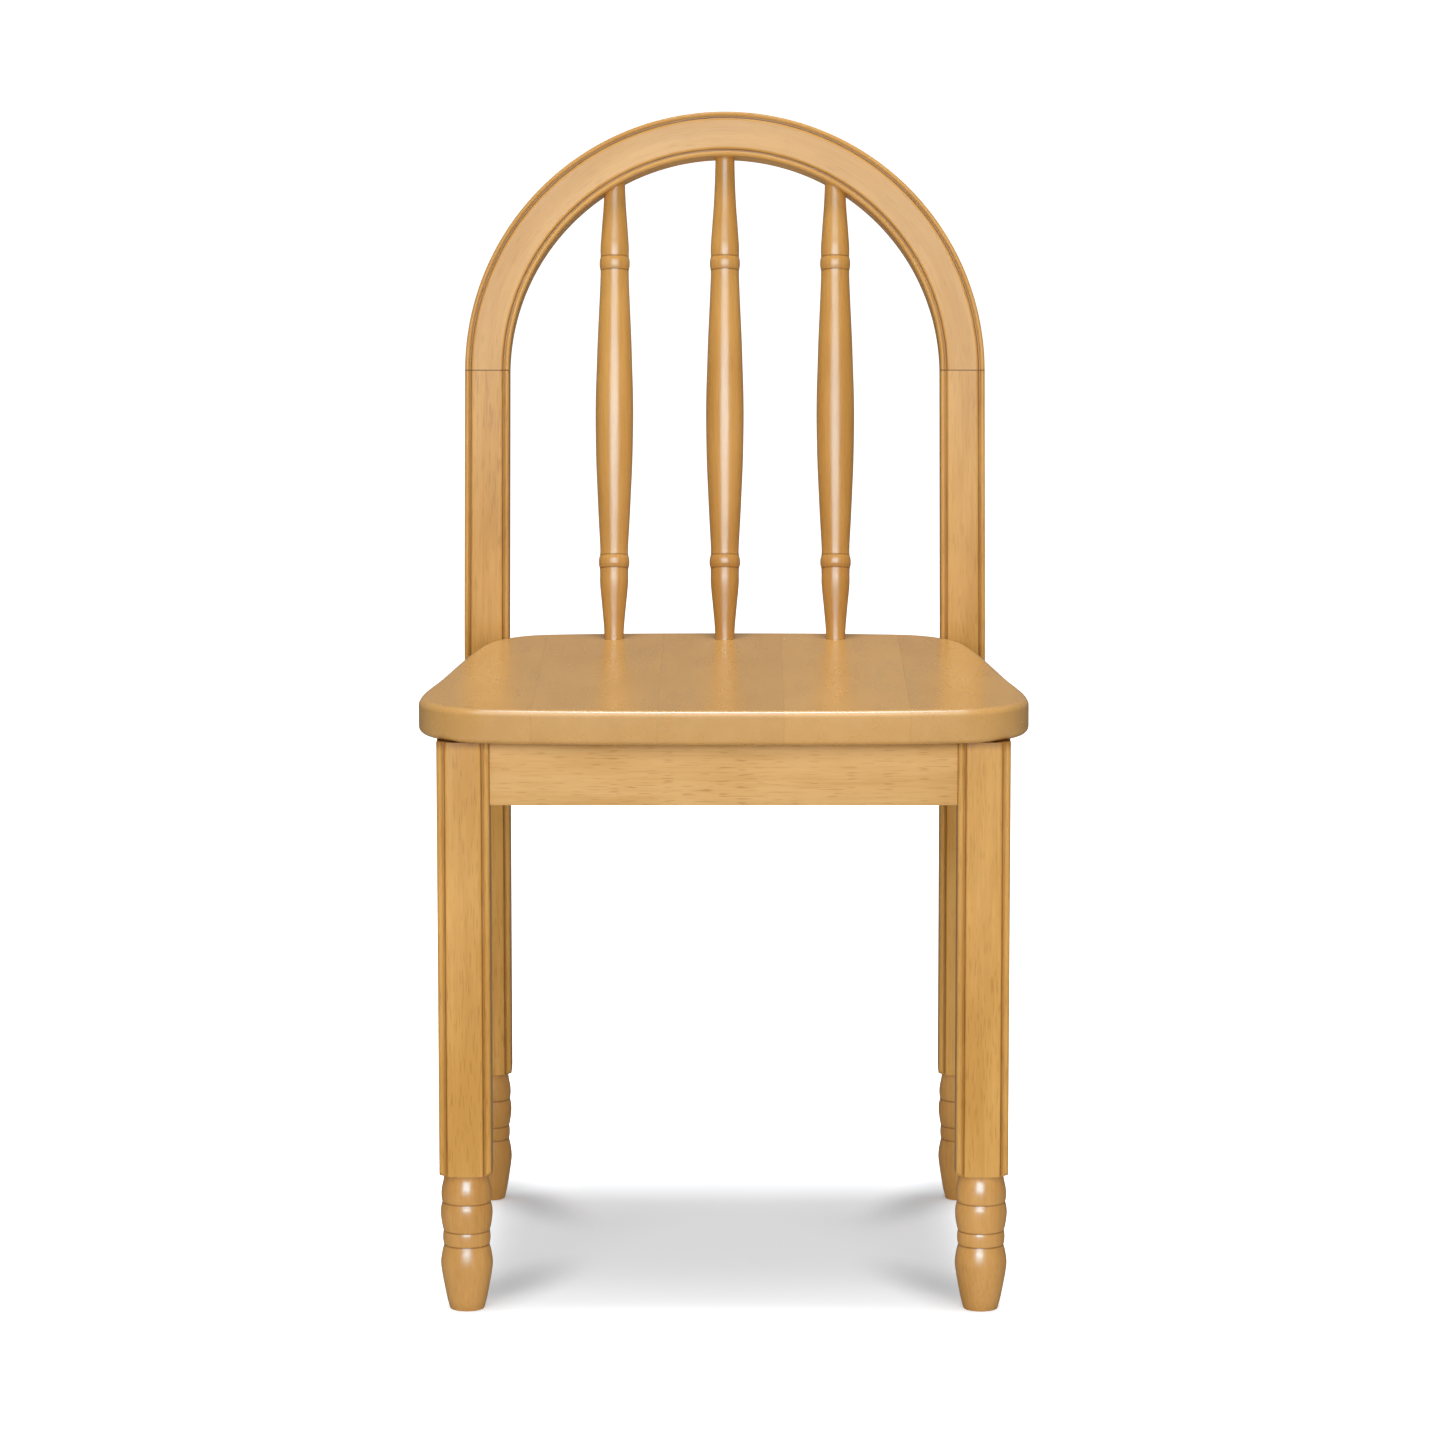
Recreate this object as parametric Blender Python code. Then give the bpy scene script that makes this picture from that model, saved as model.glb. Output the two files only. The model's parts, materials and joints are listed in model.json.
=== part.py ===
"""Spindle back dining chair: a solid seat, two turned and beaded front legs, two raked back posts, a
semicircular back bow and three turned spindles, joined with dowels, corner blocks and screws.

Metres, +Z up. The front faces -Y, and left is the -X side. The origin is on the floor, at the middle of
the chair's width and of its whole depth.
"""

import math

import bmesh
import bpy
from mathutils import Matrix, Vector
from mathutils.geometry import interpolate_bezier

# Clearances
GAP = 0.0003
MERGE = 0.00001
OVERRUN = 0.004

# Seat
SEAT_HEIGHT = 0.453
SEAT_WIDTH = 0.449
SEAT_DEPTH = 0.416
SEAT_THICKNESS = 0.0255
SEAT_EDGE_ROUND = 0.0035
SEAT_FRONT_OVERHANG = 0.018
SEAT_LEG_OVERHANG = 0.0149
SEAT_POST_OVERHANG = 0.020
SEAT_NOTCH_DEPTH = 0.0364
# Knots of the right half of the seat's outline, from the middle of the front edge to the middle of the
# back edge: share of the half width, share of the depth, and heading in degrees from +X.
SEAT_OUTLINE_SHARES = (
    (0.000, 0.000, 0),
    (0.775, 0.020, 8),
    (1.000, 0.165, 90),
    (0.949, 0.409, 97),
    (0.842, 0.836, 101),
    (0.615, 0.981, 172),
    (0.000, 1.000, 180),
)
SEAT_OUTLINE_STEPS = (5, 6, 3, 4, 6, 4)

# Front legs
LEG_SIDE = 0.0385
LEG_BEAD = 0.0047

# Back posts, each one piece from the floor to the joint under the bow
POST_WIDTH = 0.0348
POST_DEPTH = 0.034
POST_BEAD = 0.0038
RAKE = math.radians(11)
BEND_RADIUS = 0.15
BOW_JOINT_HEIGHT = 0.6575
BEND_STEPS = 5

# Moulding of legs, posts and bow: a bead on each front edge, set off by a narrow groove
QUIRK_WIDTH = 0.0018
QUIRK_DEPTH = 0.0016
BACK_CHAMFER = 0.002
BEAD_STEPS = 5

# Turned foot of every leg: share of the half side, and share of the foot's height
FOOT_HEIGHT = 0.103
FOOT_SHARES = (
    (0.645, 0.000),
    (0.668, 0.008),
    (0.745, 0.060),
    (0.835, 0.140),
    (0.915, 0.220),
    (0.968, 0.280),
    (0.998, 0.333),
    (0.985, 0.375),
    (0.935, 0.430),
    (0.870, 0.473),
    (0.900, 0.492),
    (0.915, 0.525),
    (0.908, 0.555),
    (0.885, 0.577),
    (0.925, 0.603),
    (0.970, 0.650),
    (0.997, 0.700),
    (0.985, 0.745),
    (0.930, 0.787),
    (0.955, 0.808),
    (0.968, 0.850),
    (0.945, 0.893),
    (0.890, 0.940),
    (0.865, 0.970),
    (0.865, 0.998),
)
SHOULDER_SHARES = ((1.000, 1.000), (1.220, 1.008), (1.450, 1.055))
WASTE_SHARE = 1.7
FOOT_SEGMENTS = 20

# Back bow: the same moulded section as the posts, bent to a true half circle
BOW_STEPS = 36

# Spindles: share of the centre spindle's height between seat and bow, and diameter
SPINDLE_SPACING = 0.087
SPINDLE_INSET = 0.037
SPINDLE_BELLY = 0.030
SPINDLE_SOCKET = 0.018
SPINDLE_SHARES = (
    (0.000, 0.505),
    (0.025, 0.538),
    (0.050, 0.593),
    (0.075, 0.652),
    (0.100, 0.716),
    (0.120, 0.750),
    (0.133, 0.747),
    (0.146, 0.755),
    (0.152, 0.797),
    (0.158, 0.812),
    (0.166, 0.798),
    (0.173, 0.750),
    (0.183, 0.738),
    (0.212, 0.772),
    (0.250, 0.826),
    (0.312, 0.900),
    (0.362, 0.955),
    (0.412, 0.985),
    (0.462, 1.000),
    (0.512, 0.985),
    (0.562, 0.945),
    (0.612, 0.905),
    (0.662, 0.850),
    (0.712, 0.792),
    (0.750, 0.755),
    (0.765, 0.750),
    (0.771, 0.785),
    (0.780, 0.802),
    (0.788, 0.785),
    (0.793, 0.750),
    (0.812, 0.758),
    (0.830, 0.730),
    (0.864, 0.669),
    (0.897, 0.605),
    (0.945, 0.545),
    (1.000, 0.510),
)
SPINDLE_SEGMENTS = 14

# Aprons under the seat
APRON_HEIGHT = 0.047
APRON_THICKNESS = 0.018
APRON_ROUND = 0.0015
FRONT_APRON_SETBACK = 0.003
SIDE_APRON_SETBACK = 0.004
BACK_APRON_SETBACK = 0.007

# Dowels
DOWEL_DIAMETER = 0.008
APRON_DOWEL_DEPTH = 0.014
BOW_DOWEL_DEPTH = 0.020
DOWEL_CHAMFER = 0.001
APRON_DOWEL_SPACING = 0.022
BOW_DOWEL_SPACING = 0.015
DOWEL_SEGMENTS = 8

# Corner blocks: braces across the four corners under the seat
BRACE_WIDTH = 0.020
BRACE_HEIGHT = 0.028
BRACE_RELIEF = 0.002
BRACE_SCREW_STAGGER = 0.006

# Screws
SCREW_SHANK = 0.004
SCREW_HEAD = 0.008
SCREW_HEAD_HEIGHT = 0.0025
SCREW_TIP = 0.003
APRON_SCREW_SEAT = 0.007
APRON_SCREW_BITE = 0.011
SEAT_SCREW_SEAT = 0.020
SEAT_SCREW_BITE = 0.014
SCREW_SEGMENTS = 8

CREASE = math.radians(35)
SIDES = {"left": -1, "right": 1}

# Heights and depths worked out from the sizes above
FRONT_SPREAD = SEAT_WIDTH - 2 * SEAT_LEG_OVERHANG
BACK_SPREAD = SEAT_WIDTH - 2 * SEAT_POST_OVERHANG
POST_SETBACK = SEAT_DEPTH - SEAT_FRONT_OVERHANG - SEAT_NOTCH_DEPTH
SPINDLE_SETBACK = SEAT_DEPTH - SEAT_FRONT_OVERHANG - SPINDLE_INSET
SEAT_UNDERSIDE = SEAT_HEIGHT - SEAT_THICKNESS
FRAME_TOP = SEAT_UNDERSIDE - GAP
BOW_OUTER = BACK_SPREAD / 2
BOW_INNER = BOW_OUTER - POST_WIDTH
BEND_START = SEAT_HEIGHT - (BEND_RADIUS + POST_DEPTH / 2) * math.tan(RAKE / 2)
BEND_RISE = BEND_RADIUS * math.sin(RAKE)
BEND_SHIFT = BEND_RADIUS * (1 - math.cos(RAKE))
RAKED_LENGTH = (BOW_JOINT_HEIGHT - BEND_START - BEND_RISE) / math.cos(RAKE)
BOW_SHIFT = BEND_SHIFT + RAKED_LENGTH * math.sin(RAKE)

# Depths along Y, with the whole chair centred on the origin
CHAIR_DEPTH = (
    SEAT_FRONT_OVERHANG
    + POST_SETBACK
    + POST_DEPTH / 2
    + BOW_SHIFT
    + POST_DEPTH / 2 * math.cos(RAKE)
    + (BOW_OUTER - BACK_CHAMFER) * math.sin(RAKE)
)
SEAT_FRONT = -CHAIR_DEPTH / 2
LEG_FRONT = SEAT_FRONT + SEAT_FRONT_OVERHANG
POST_FRONT = LEG_FRONT + POST_SETBACK
POST_AXIS = POST_FRONT + POST_DEPTH / 2
LEG_X = (FRONT_SPREAD - LEG_SIDE) / 2
POST_X = (BACK_SPREAD - POST_WIDTH) / 2
LEG_INNER = FRONT_SPREAD / 2 - LEG_SIDE
POST_INNER = BACK_SPREAD / 2 - POST_WIDTH
LEG_BACK = LEG_FRONT + LEG_SIDE
SIDE_APRON_X = BACK_SPREAD / 2 - SIDE_APRON_SETBACK - APRON_THICKNESS / 2
FRONT_APRON_Y = LEG_FRONT + FRONT_APRON_SETBACK + APRON_THICKNESS / 2
BACK_APRON_Y = POST_FRONT + BACK_APRON_SETBACK + APRON_THICKNESS / 2
APRON_MIDDLE = FRAME_TOP - APRON_HEIGHT / 2

# The raked plane that holds the bow: local X is the chair's X, local Z runs up the rake
BOW_CENTRE = (0, POST_AXIS + BOW_SHIFT, BOW_JOINT_HEIGHT)
BOW_PLANE = Matrix.Translation(BOW_CENTRE) @ Matrix.Rotation(-RAKE, 4, "X")


def clear_scene():
    """Empties the scene of what Blender starts with."""
    for obj in list(bpy.data.objects):
        bpy.data.objects.remove(obj)


def finish(name, colour, roughness, metallic=0.0):
    """One Principled material."""
    material = bpy.data.materials.new(name)
    material.use_nodes = True
    shader = material.node_tree.nodes["Principled BSDF"]
    shader.inputs["Base Color"].default_value = (*colour, 1.0)
    shader.inputs["Roughness"].default_value = roughness
    shader.inputs["Metallic"].default_value = metallic
    return material


def mesh_from(bm, name):
    """A smooth-shaded mesh with sharp creases, its faces pointing outwards."""
    bmesh.ops.recalc_face_normals(bm, faces=bm.faces)
    mesh = bpy.data.meshes.new(name)
    bm.to_mesh(mesh)
    bm.free()
    mesh.shade_smooth()
    mesh.set_sharp_from_angle(angle=CREASE)
    return mesh


def place(name, mesh, material, matrix=None):
    """One named sub-part of the chair."""
    obj = bpy.data.objects.new(name, mesh)
    bpy.context.scene.collection.objects.link(obj)
    if not mesh.materials:
        mesh.materials.append(material)
    obj.matrix_world = matrix or Matrix()
    return obj


def cut(obj, bm, name):
    """Takes the shape away from the sub-part."""
    cutter = bpy.data.objects.new(name, mesh_from(bm, name))
    bpy.context.scene.collection.objects.link(cutter)
    cutter.hide_render = True
    cutter.display_type = "WIRE"
    modifier = obj.modifiers.new(name, "BOOLEAN")
    modifier.operation = "DIFFERENCE"
    modifier.solver = "EXACT"
    modifier.object = cutter


def slab(outline, low, high):
    """A flat outline in XY raised from one height to another."""
    bm = bmesh.new()
    face = bm.faces.new([bm.verts.new((x, y, low)) for x, y in outline])
    raise_face(bm, face, (0, 0, high - low))
    return bm


def raise_face(bm, face, offset):
    """Extrudes a face by an offset and returns the new end face."""
    made = bmesh.ops.extrude_face_region(bm, geom=[face])["geom"]
    bmesh.ops.translate(bm, vec=offset, verts=[v for v in made if isinstance(v, bmesh.types.BMVert)])
    return next(f for f in made if isinstance(f, bmesh.types.BMFace))


def box(size, centre):
    """A plain block."""
    bm = bmesh.new()
    matrix = Matrix.Translation(centre) @ Matrix.Diagonal((*size, 1))
    bmesh.ops.create_cube(bm, size=1, matrix=matrix)
    return bm


def turned(profile, segments, hollow=False):
    """A solid of revolution about Z from (radius, height) points, or a ring from a closed profile."""
    bm = bmesh.new()
    points = list(profile)
    if hollow:
        points.append(points[0])
    else:
        points = [(0, points[0][1]), *points]
        if points[-1][0] > 0:
            points.append((0, points[-1][1]))
    verts = [bm.verts.new((radius, 0, height)) for radius, height in points]
    edges = [bm.edges.new(pair) for pair in zip(verts, verts[1:])]
    bmesh.ops.spin(
        bm,
        geom=verts + edges,
        cent=(0, 0, 0),
        axis=(0, 0, 1),
        angle=math.tau,
        steps=segments,
        use_merge=True,
    )
    bmesh.ops.remove_doubles(bm, verts=bm.verts, dist=MERGE)
    return bm


def along(direction):
    """The rotation that turns +Z towards a direction."""
    return Vector(direction).to_track_quat("Z", "Y").to_matrix().to_4x4()


def moulded_section(width, depth, bead):
    """Section of a leg, post or bow in (x, y), with a bead on each front edge and eased back edges."""
    half, front, back = width / 2, -depth / 2, depth / 2
    radius = bead / 2
    inner_angle = math.pi - math.asin(1 - QUIRK_DEPTH / radius)
    right = [
        (half - bead - QUIRK_WIDTH, front),
        (half - bead - QUIRK_WIDTH / 2, front + QUIRK_DEPTH),
    ]
    for step in range(BEAD_STEPS + 1):
        angle = inner_angle * (1 - step / BEAD_STEPS)
        right.append((half - radius + radius * math.cos(angle), front + radius - radius * math.sin(angle)))
    right += [(half, back - BACK_CHAMFER), (half - BACK_CHAMFER, back)]
    left = [(-x, y) for x, y in reversed(right)]
    return right + left


def foot_waste(half):
    """The ring of wood that the lathe takes off a square leg to leave its turned foot."""
    profile = [(radius * half, height * FOOT_HEIGHT) for radius, height in FOOT_SHARES + SHOULDER_SHARES]
    first, last = profile[0], profile[-1]
    ring = [(first[0], first[1] - OVERRUN), *profile]
    ring += [(WASTE_SHARE * half, last[1]), (WASTE_SHARE * half, first[1] - OVERRUN)]
    return turned(ring, FOOT_SEGMENTS, hollow=True)


def drill(bm, start, direction, radius, depth, segments):
    """Adds to a cutter a bore from a point on the wood's face, run out past the face."""
    direction = Vector(direction).normalized()
    length = depth + OVERRUN
    middle = Vector(start) + direction * (depth - OVERRUN) / 2
    bmesh.ops.create_cone(
        bm,
        cap_ends=True,
        segments=segments,
        radius1=radius,
        radius2=radius,
        depth=length,
        matrix=Matrix.Translation(middle) @ along(direction),
    )


def seat_outline():
    """The seat's whole outline in (x, y), from Bezier curves between the knots of one half.

    A curve that turns by t over a chord c is nearest a circular arc with handles 2/3 c tan(t/4) / sin(t/2).
    """
    knots = []
    for x_share, y_share, heading in SEAT_OUTLINE_SHARES:
        point = Vector((x_share * SEAT_WIDTH / 2, SEAT_FRONT + y_share * SEAT_DEPTH, 0))
        knots.append((point, math.radians(heading)))
    half = []
    for (start, turn_in), (end, turn_out), steps in zip(knots, knots[1:], SEAT_OUTLINE_STEPS):
        turn = turn_out - turn_in
        reach = (end - start).length * (2 / 3) * math.tan(turn / 4) / math.sin(turn / 2)
        out_handle = start + reach * Vector((math.cos(turn_in), math.sin(turn_in), 0))
        in_handle = end - reach * Vector((math.cos(turn_out), math.sin(turn_out), 0))
        half += interpolate_bezier(start, out_handle, in_handle, end, steps + 1)[:-1]
    half.append(knots[-1][0])
    right = [(p.x, p.y) for p in half]
    left = [(-x, y) for x, y in reversed(right[1:-1])]
    return right + left


def spindle_frame(x):
    """The spindle's matrix, with Z up it from the seat's top, and its length from there to the bow."""
    foot = Vector((x, LEG_FRONT + SPINDLE_SETBACK, SEAT_HEIGHT))
    head = BOW_PLANE @ Vector((x, 0, math.sqrt(BOW_INNER**2 - x**2)))
    return Matrix.Translation(foot) @ along(head - foot), (head - foot).length


def spindle_radius(height):
    """The turned radius at a height up the spindle."""
    share = height / spindle_frame(0)[1]
    for (low, r_low), (high, r_high) in zip(SPINDLE_SHARES, SPINDLE_SHARES[1:]):
        if low <= share <= high:
            mix = (share - low) / (high - low)
            return (r_low + (r_high - r_low) * mix) * SPINDLE_BELLY / 2
    return SPINDLE_SHARES[-1][1] * SPINDLE_BELLY / 2


def spindle_entry(x):
    """Height at which the spindle's outer side first meets the curved underside of the bow."""
    matrix, length = spindle_frame(x)
    reach = abs(x) + spindle_radius(length)
    lowest = math.sqrt(BOW_INNER**2 - x**2) - math.sqrt(BOW_INNER**2 - reach**2)
    return length - lowest - POST_DEPTH / 2 * math.sin(RAKE) - OVERRUN


def make_seat(material):
    """The seat board: bowed outline, eased rims, notches round the posts and sockets for the spindles."""
    bm = slab(seat_outline(), SEAT_UNDERSIDE, SEAT_HEIGHT)
    rims = [e for e in bm.edges if abs(e.verts[0].co.z - e.verts[1].co.z) < MERGE]
    bmesh.ops.bevel(
        bm, geom=rims, offset=SEAT_EDGE_ROUND, affect="EDGES", segments=2, profile=0.5, material=-1
    )
    seat = place("seat", mesh_from(bm, "seat"), material)
    notches = bmesh.new()
    size = (POST_WIDTH, SEAT_DEPTH, SEAT_THICKNESS + 2 * OVERRUN)
    for side in SIDES.values():
        centre = (
            side * (POST_INNER - GAP + POST_WIDTH / 2),
            POST_FRONT - GAP + SEAT_DEPTH / 2,
            SEAT_HEIGHT - SEAT_THICKNESS / 2,
        )
        matrix = Matrix.Translation(centre) @ Matrix.Diagonal((*size, 1))
        bmesh.ops.create_cube(notches, size=1, matrix=matrix)
    cut(seat, notches, "post_notches")
    sockets = bmesh.new()
    for x in (-SPINDLE_SPACING, 0, SPINDLE_SPACING):
        matrix, _ = spindle_frame(x)
        down = matrix.to_3x3() @ Vector((0, 0, -1))
        radius = spindle_radius(0) + GAP
        drill(sockets, matrix.translation, down, radius, SPINDLE_SOCKET, SPINDLE_SEGMENTS)
    cut(seat, sockets, "spindle_sockets")
    return seat


def make_front_legs(material):
    """Two square beaded legs with turned feet."""
    section = moulded_section(LEG_SIDE, LEG_SIDE, LEG_BEAD)
    mesh = mesh_from(slab(section, 0, FRAME_TOP), "front_leg")
    legs = {}
    for side, sign in SIDES.items():
        matrix = Matrix.Translation((sign * LEG_X, LEG_FRONT + LEG_SIDE / 2, 0))
        leg = place(f"front_leg_{side}", mesh, material, matrix)
        waste = foot_waste(LEG_SIDE / 2)
        waste.transform(matrix)
        cut(leg, waste, f"front_foot_waste_{side}")
        legs[side] = leg
    return legs


def make_back_posts(material):
    """Two posts: a turned foot, a square beaded leg, a bend at the seat and a raked stile."""
    bm = bmesh.new()
    section = moulded_section(POST_WIDTH, POST_DEPTH, POST_BEAD)
    end = bm.faces.new([bm.verts.new((x, y, 0)) for x, y in section])
    end = raise_face(bm, end, (0, 0, BEND_START))
    centre = (0, BEND_RADIUS, BEND_START)
    bent = bmesh.ops.spin(bm, geom=[end], cent=centre, axis=(1, 0, 0), angle=-RAKE, steps=BEND_STEPS)
    end = next(f for f in bent["geom_last"] if isinstance(f, bmesh.types.BMFace))
    rise = RAKED_LENGTH - GAP
    raise_face(bm, end, (0, rise * math.sin(RAKE), rise * math.cos(RAKE)))
    inside = [face for face in bm.faces if all(len(edge.link_faces) > 2 for edge in face.edges)]
    bmesh.ops.delete(bm, geom=inside, context="FACES")
    mesh = mesh_from(bm, "back_post")
    posts = {}
    for side, sign in SIDES.items():
        matrix = Matrix.Translation((sign * POST_X, POST_AXIS, 0))
        post = place(f"back_post_{side}", mesh, material, matrix)
        waste = foot_waste(POST_DEPTH / 2)
        waste.transform(matrix)
        cut(post, waste, f"back_foot_waste_{side}")
        posts[side] = post
    return posts


def make_bow(material):
    """The back bow: the posts' section carried round a half circle, with sockets for the spindles."""
    bm = bmesh.new()
    section = moulded_section(POST_WIDTH, POST_DEPTH, POST_BEAD)
    face = bm.faces.new([bm.verts.new((POST_X + x, y, 0)) for x, y in section])
    bmesh.ops.spin(bm, geom=[face], cent=(0, 0, 0), axis=(0, -1, 0), angle=math.pi, steps=BOW_STEPS)
    bow = place("back_bow", mesh_from(bm, "back_bow"), material, BOW_PLANE)
    sockets = bmesh.new()
    for x in (-SPINDLE_SPACING, 0, SPINDLE_SPACING):
        matrix, length = spindle_frame(x)
        up = matrix.to_3x3() @ Vector((0, 0, 1))
        entry = spindle_entry(x)
        radius = spindle_radius(entry) + GAP
        depth = length - entry + SPINDLE_SOCKET
        drill(sockets, matrix @ Vector((0, 0, entry)), up, radius, depth, SPINDLE_SEGMENTS)
    cut(bow, sockets, "bow_sockets")
    return bow


def make_spindles(material):
    """Three spindles of one turning, the outer two cut shorter where the bow comes down to them."""
    whole = spindle_frame(0)[1]
    for name, x in (("left", -SPINDLE_SPACING), ("centre", 0), ("right", SPINDLE_SPACING)):
        matrix, length = spindle_frame(x)
        entry = spindle_entry(x)
        profile = [(spindle_radius(0), GAP - SPINDLE_SOCKET)]
        profile += [(spindle_radius(s * whole), s * whole) for s, _ in SPINDLE_SHARES if s * whole < entry]
        profile += [(spindle_radius(entry), entry), (spindle_radius(entry), length + SPINDLE_SOCKET - GAP)]
        mesh = mesh_from(turned(profile, SPINDLE_SEGMENTS), f"spindle_{name}")
        place(f"spindle_{name}", mesh, material, matrix)


def apron_board(length):
    """An apron along X, its two lower edges eased, centred on its own origin."""
    bm = box((length, APRON_THICKNESS, APRON_HEIGHT), (0, 0, 0))
    lower = [
        e for e in bm.edges if all(v.co.z < 0 for v in e.verts) and e.verts[0].co.y == e.verts[1].co.y
    ]
    bmesh.ops.bevel(
        bm, geom=lower, offset=APRON_ROUND, affect="EDGES", segments=2, profile=0.5, material=-1
    )
    return bm


def make_aprons(material):
    """Four boards under the seat, between the legs and posts."""
    aprons = {}
    for name, y, inner in (("front", FRONT_APRON_Y, LEG_INNER), ("back", BACK_APRON_Y, POST_INNER)):
        mesh = mesh_from(apron_board(2 * (inner - GAP)), f"{name}_apron")
        aprons[name] = place(f"{name}_apron", mesh, material, Matrix.Translation((0, y, APRON_MIDDLE)))
    length = POST_FRONT - LEG_BACK - 2 * GAP
    mesh = mesh_from(apron_board(length), "side_apron")
    middle = (LEG_BACK + POST_FRONT) / 2
    for side, sign in SIDES.items():
        matrix = Matrix.Translation((sign * SIDE_APRON_X, middle, APRON_MIDDLE)) @ Matrix.Rotation(
            math.pi / 2, 4, "Z"
        )
        aprons[side] = place(f"{side}_apron", mesh, material, matrix)
    return aprons


def dowel_mesh(depth, name):
    """A round pin with chamfered ends that reaches the same depth into both pieces."""
    radius = DOWEL_DIAMETER / 2
    end = depth - GAP
    profile = [
        (radius - DOWEL_CHAMFER, -end),
        (radius, DOWEL_CHAMFER - end),
        (radius, end - DOWEL_CHAMFER),
        (radius - DOWEL_CHAMFER, end),
    ]
    return mesh_from(turned(profile, DOWEL_SEGMENTS), name)


def dowel_joint(name, mesh, depth, pair, place_at, direction, material):
    """One dowel across a joint, and its bores in the two pieces' cutters, first the piece behind it."""
    direction = Vector(direction)
    matrix = Matrix.Translation(place_at) @ along(direction)
    place(name, mesh, material, matrix)
    radius = DOWEL_DIAMETER / 2 + GAP
    drill(pair[0], place_at, -direction, radius, depth, DOWEL_SEGMENTS)
    drill(pair[1], place_at, direction, radius, depth, DOWEL_SEGMENTS)


def make_dowels(bores, material):
    """Two dowels in each end of each apron, and two in each joint between a post and the bow."""
    mesh = dowel_mesh(APRON_DOWEL_DEPTH, "apron_dowel")
    for level, offset in (("upper", APRON_DOWEL_SPACING / 2), ("lower", -APRON_DOWEL_SPACING / 2)):
        z = APRON_MIDDLE + offset
        for side, sign in SIDES.items():
            for apron, y, x, post in (
                ("front_apron", FRONT_APRON_Y, LEG_INNER, f"front_leg_{side}"),
                ("back_apron", BACK_APRON_Y, POST_INNER, f"back_post_{side}"),
            ):
                pair = (bores[apron], bores[post])
                name = f"{apron}_dowel_{side}_{level}"
                dowel_joint(name, mesh, APRON_DOWEL_DEPTH, pair, (sign * x, y, z), (sign, 0, 0), material)
            for end, y, turn, post in (
                ("front", LEG_BACK, -1, f"front_leg_{side}"),
                ("back", POST_FRONT, 1, f"back_post_{side}"),
            ):
                pair = (bores[f"{side}_apron"], bores[post])
                name = f"{side}_apron_dowel_{end}_{level}"
                at = (sign * SIDE_APRON_X, y, z)
                dowel_joint(name, mesh, APRON_DOWEL_DEPTH, pair, at, (0, turn, 0), material)
    mesh = dowel_mesh(BOW_DOWEL_DEPTH, "bow_dowel")
    up = BOW_PLANE.to_3x3() @ Vector((0, 0, 1))
    for side, sign in SIDES.items():
        for place_name, offset in (("outer", BOW_DOWEL_SPACING / 2), ("inner", -BOW_DOWEL_SPACING / 2)):
            at = BOW_PLANE @ Vector((sign * (POST_X + offset), 0, 0))
            pair = (bores[f"back_post_{side}"], bores["back_bow"])
            dowel_joint(f"bow_dowel_{side}_{place_name}", mesh, BOW_DOWEL_DEPTH, pair, at, up, material)


def screw_mesh(length, name):
    """A pan-head wood screw, head at the origin and point towards +Z."""
    profile = [
        (SCREW_HEAD / 2 - SCREW_HEAD_HEIGHT / 2, -SCREW_HEAD_HEIGHT),
        (SCREW_HEAD / 2, 0),
        (SCREW_SHANK / 2, 0),
        (SCREW_SHANK / 2, length - SCREW_TIP),
        (0, length),
    ]
    return mesh_from(turned(profile, SCREW_SEGMENTS), name)


def screw_bores(head, direction, block, block_depth, wood, bite):
    """The block's counterbore and clearance hole, turned as one shape, and the pilot hole in the wood."""
    direction = Vector(direction)
    shank = SCREW_SHANK / 2 + GAP
    recess = SCREW_HEAD / 2 + GAP
    profile = [(recess, -BRACE_WIDTH), (recess, GAP), (shank, GAP), (shank, block_depth + OVERRUN)]
    stepped = mesh_from(turned(profile, SCREW_SEGMENTS), "stepped_bore")
    stepped.transform(Matrix.Translation(head) @ along(direction))
    block.from_mesh(stepped)
    drill(wood, head + direction * block_depth, direction, shank, bite + GAP, SCREW_SEGMENTS)


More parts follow.
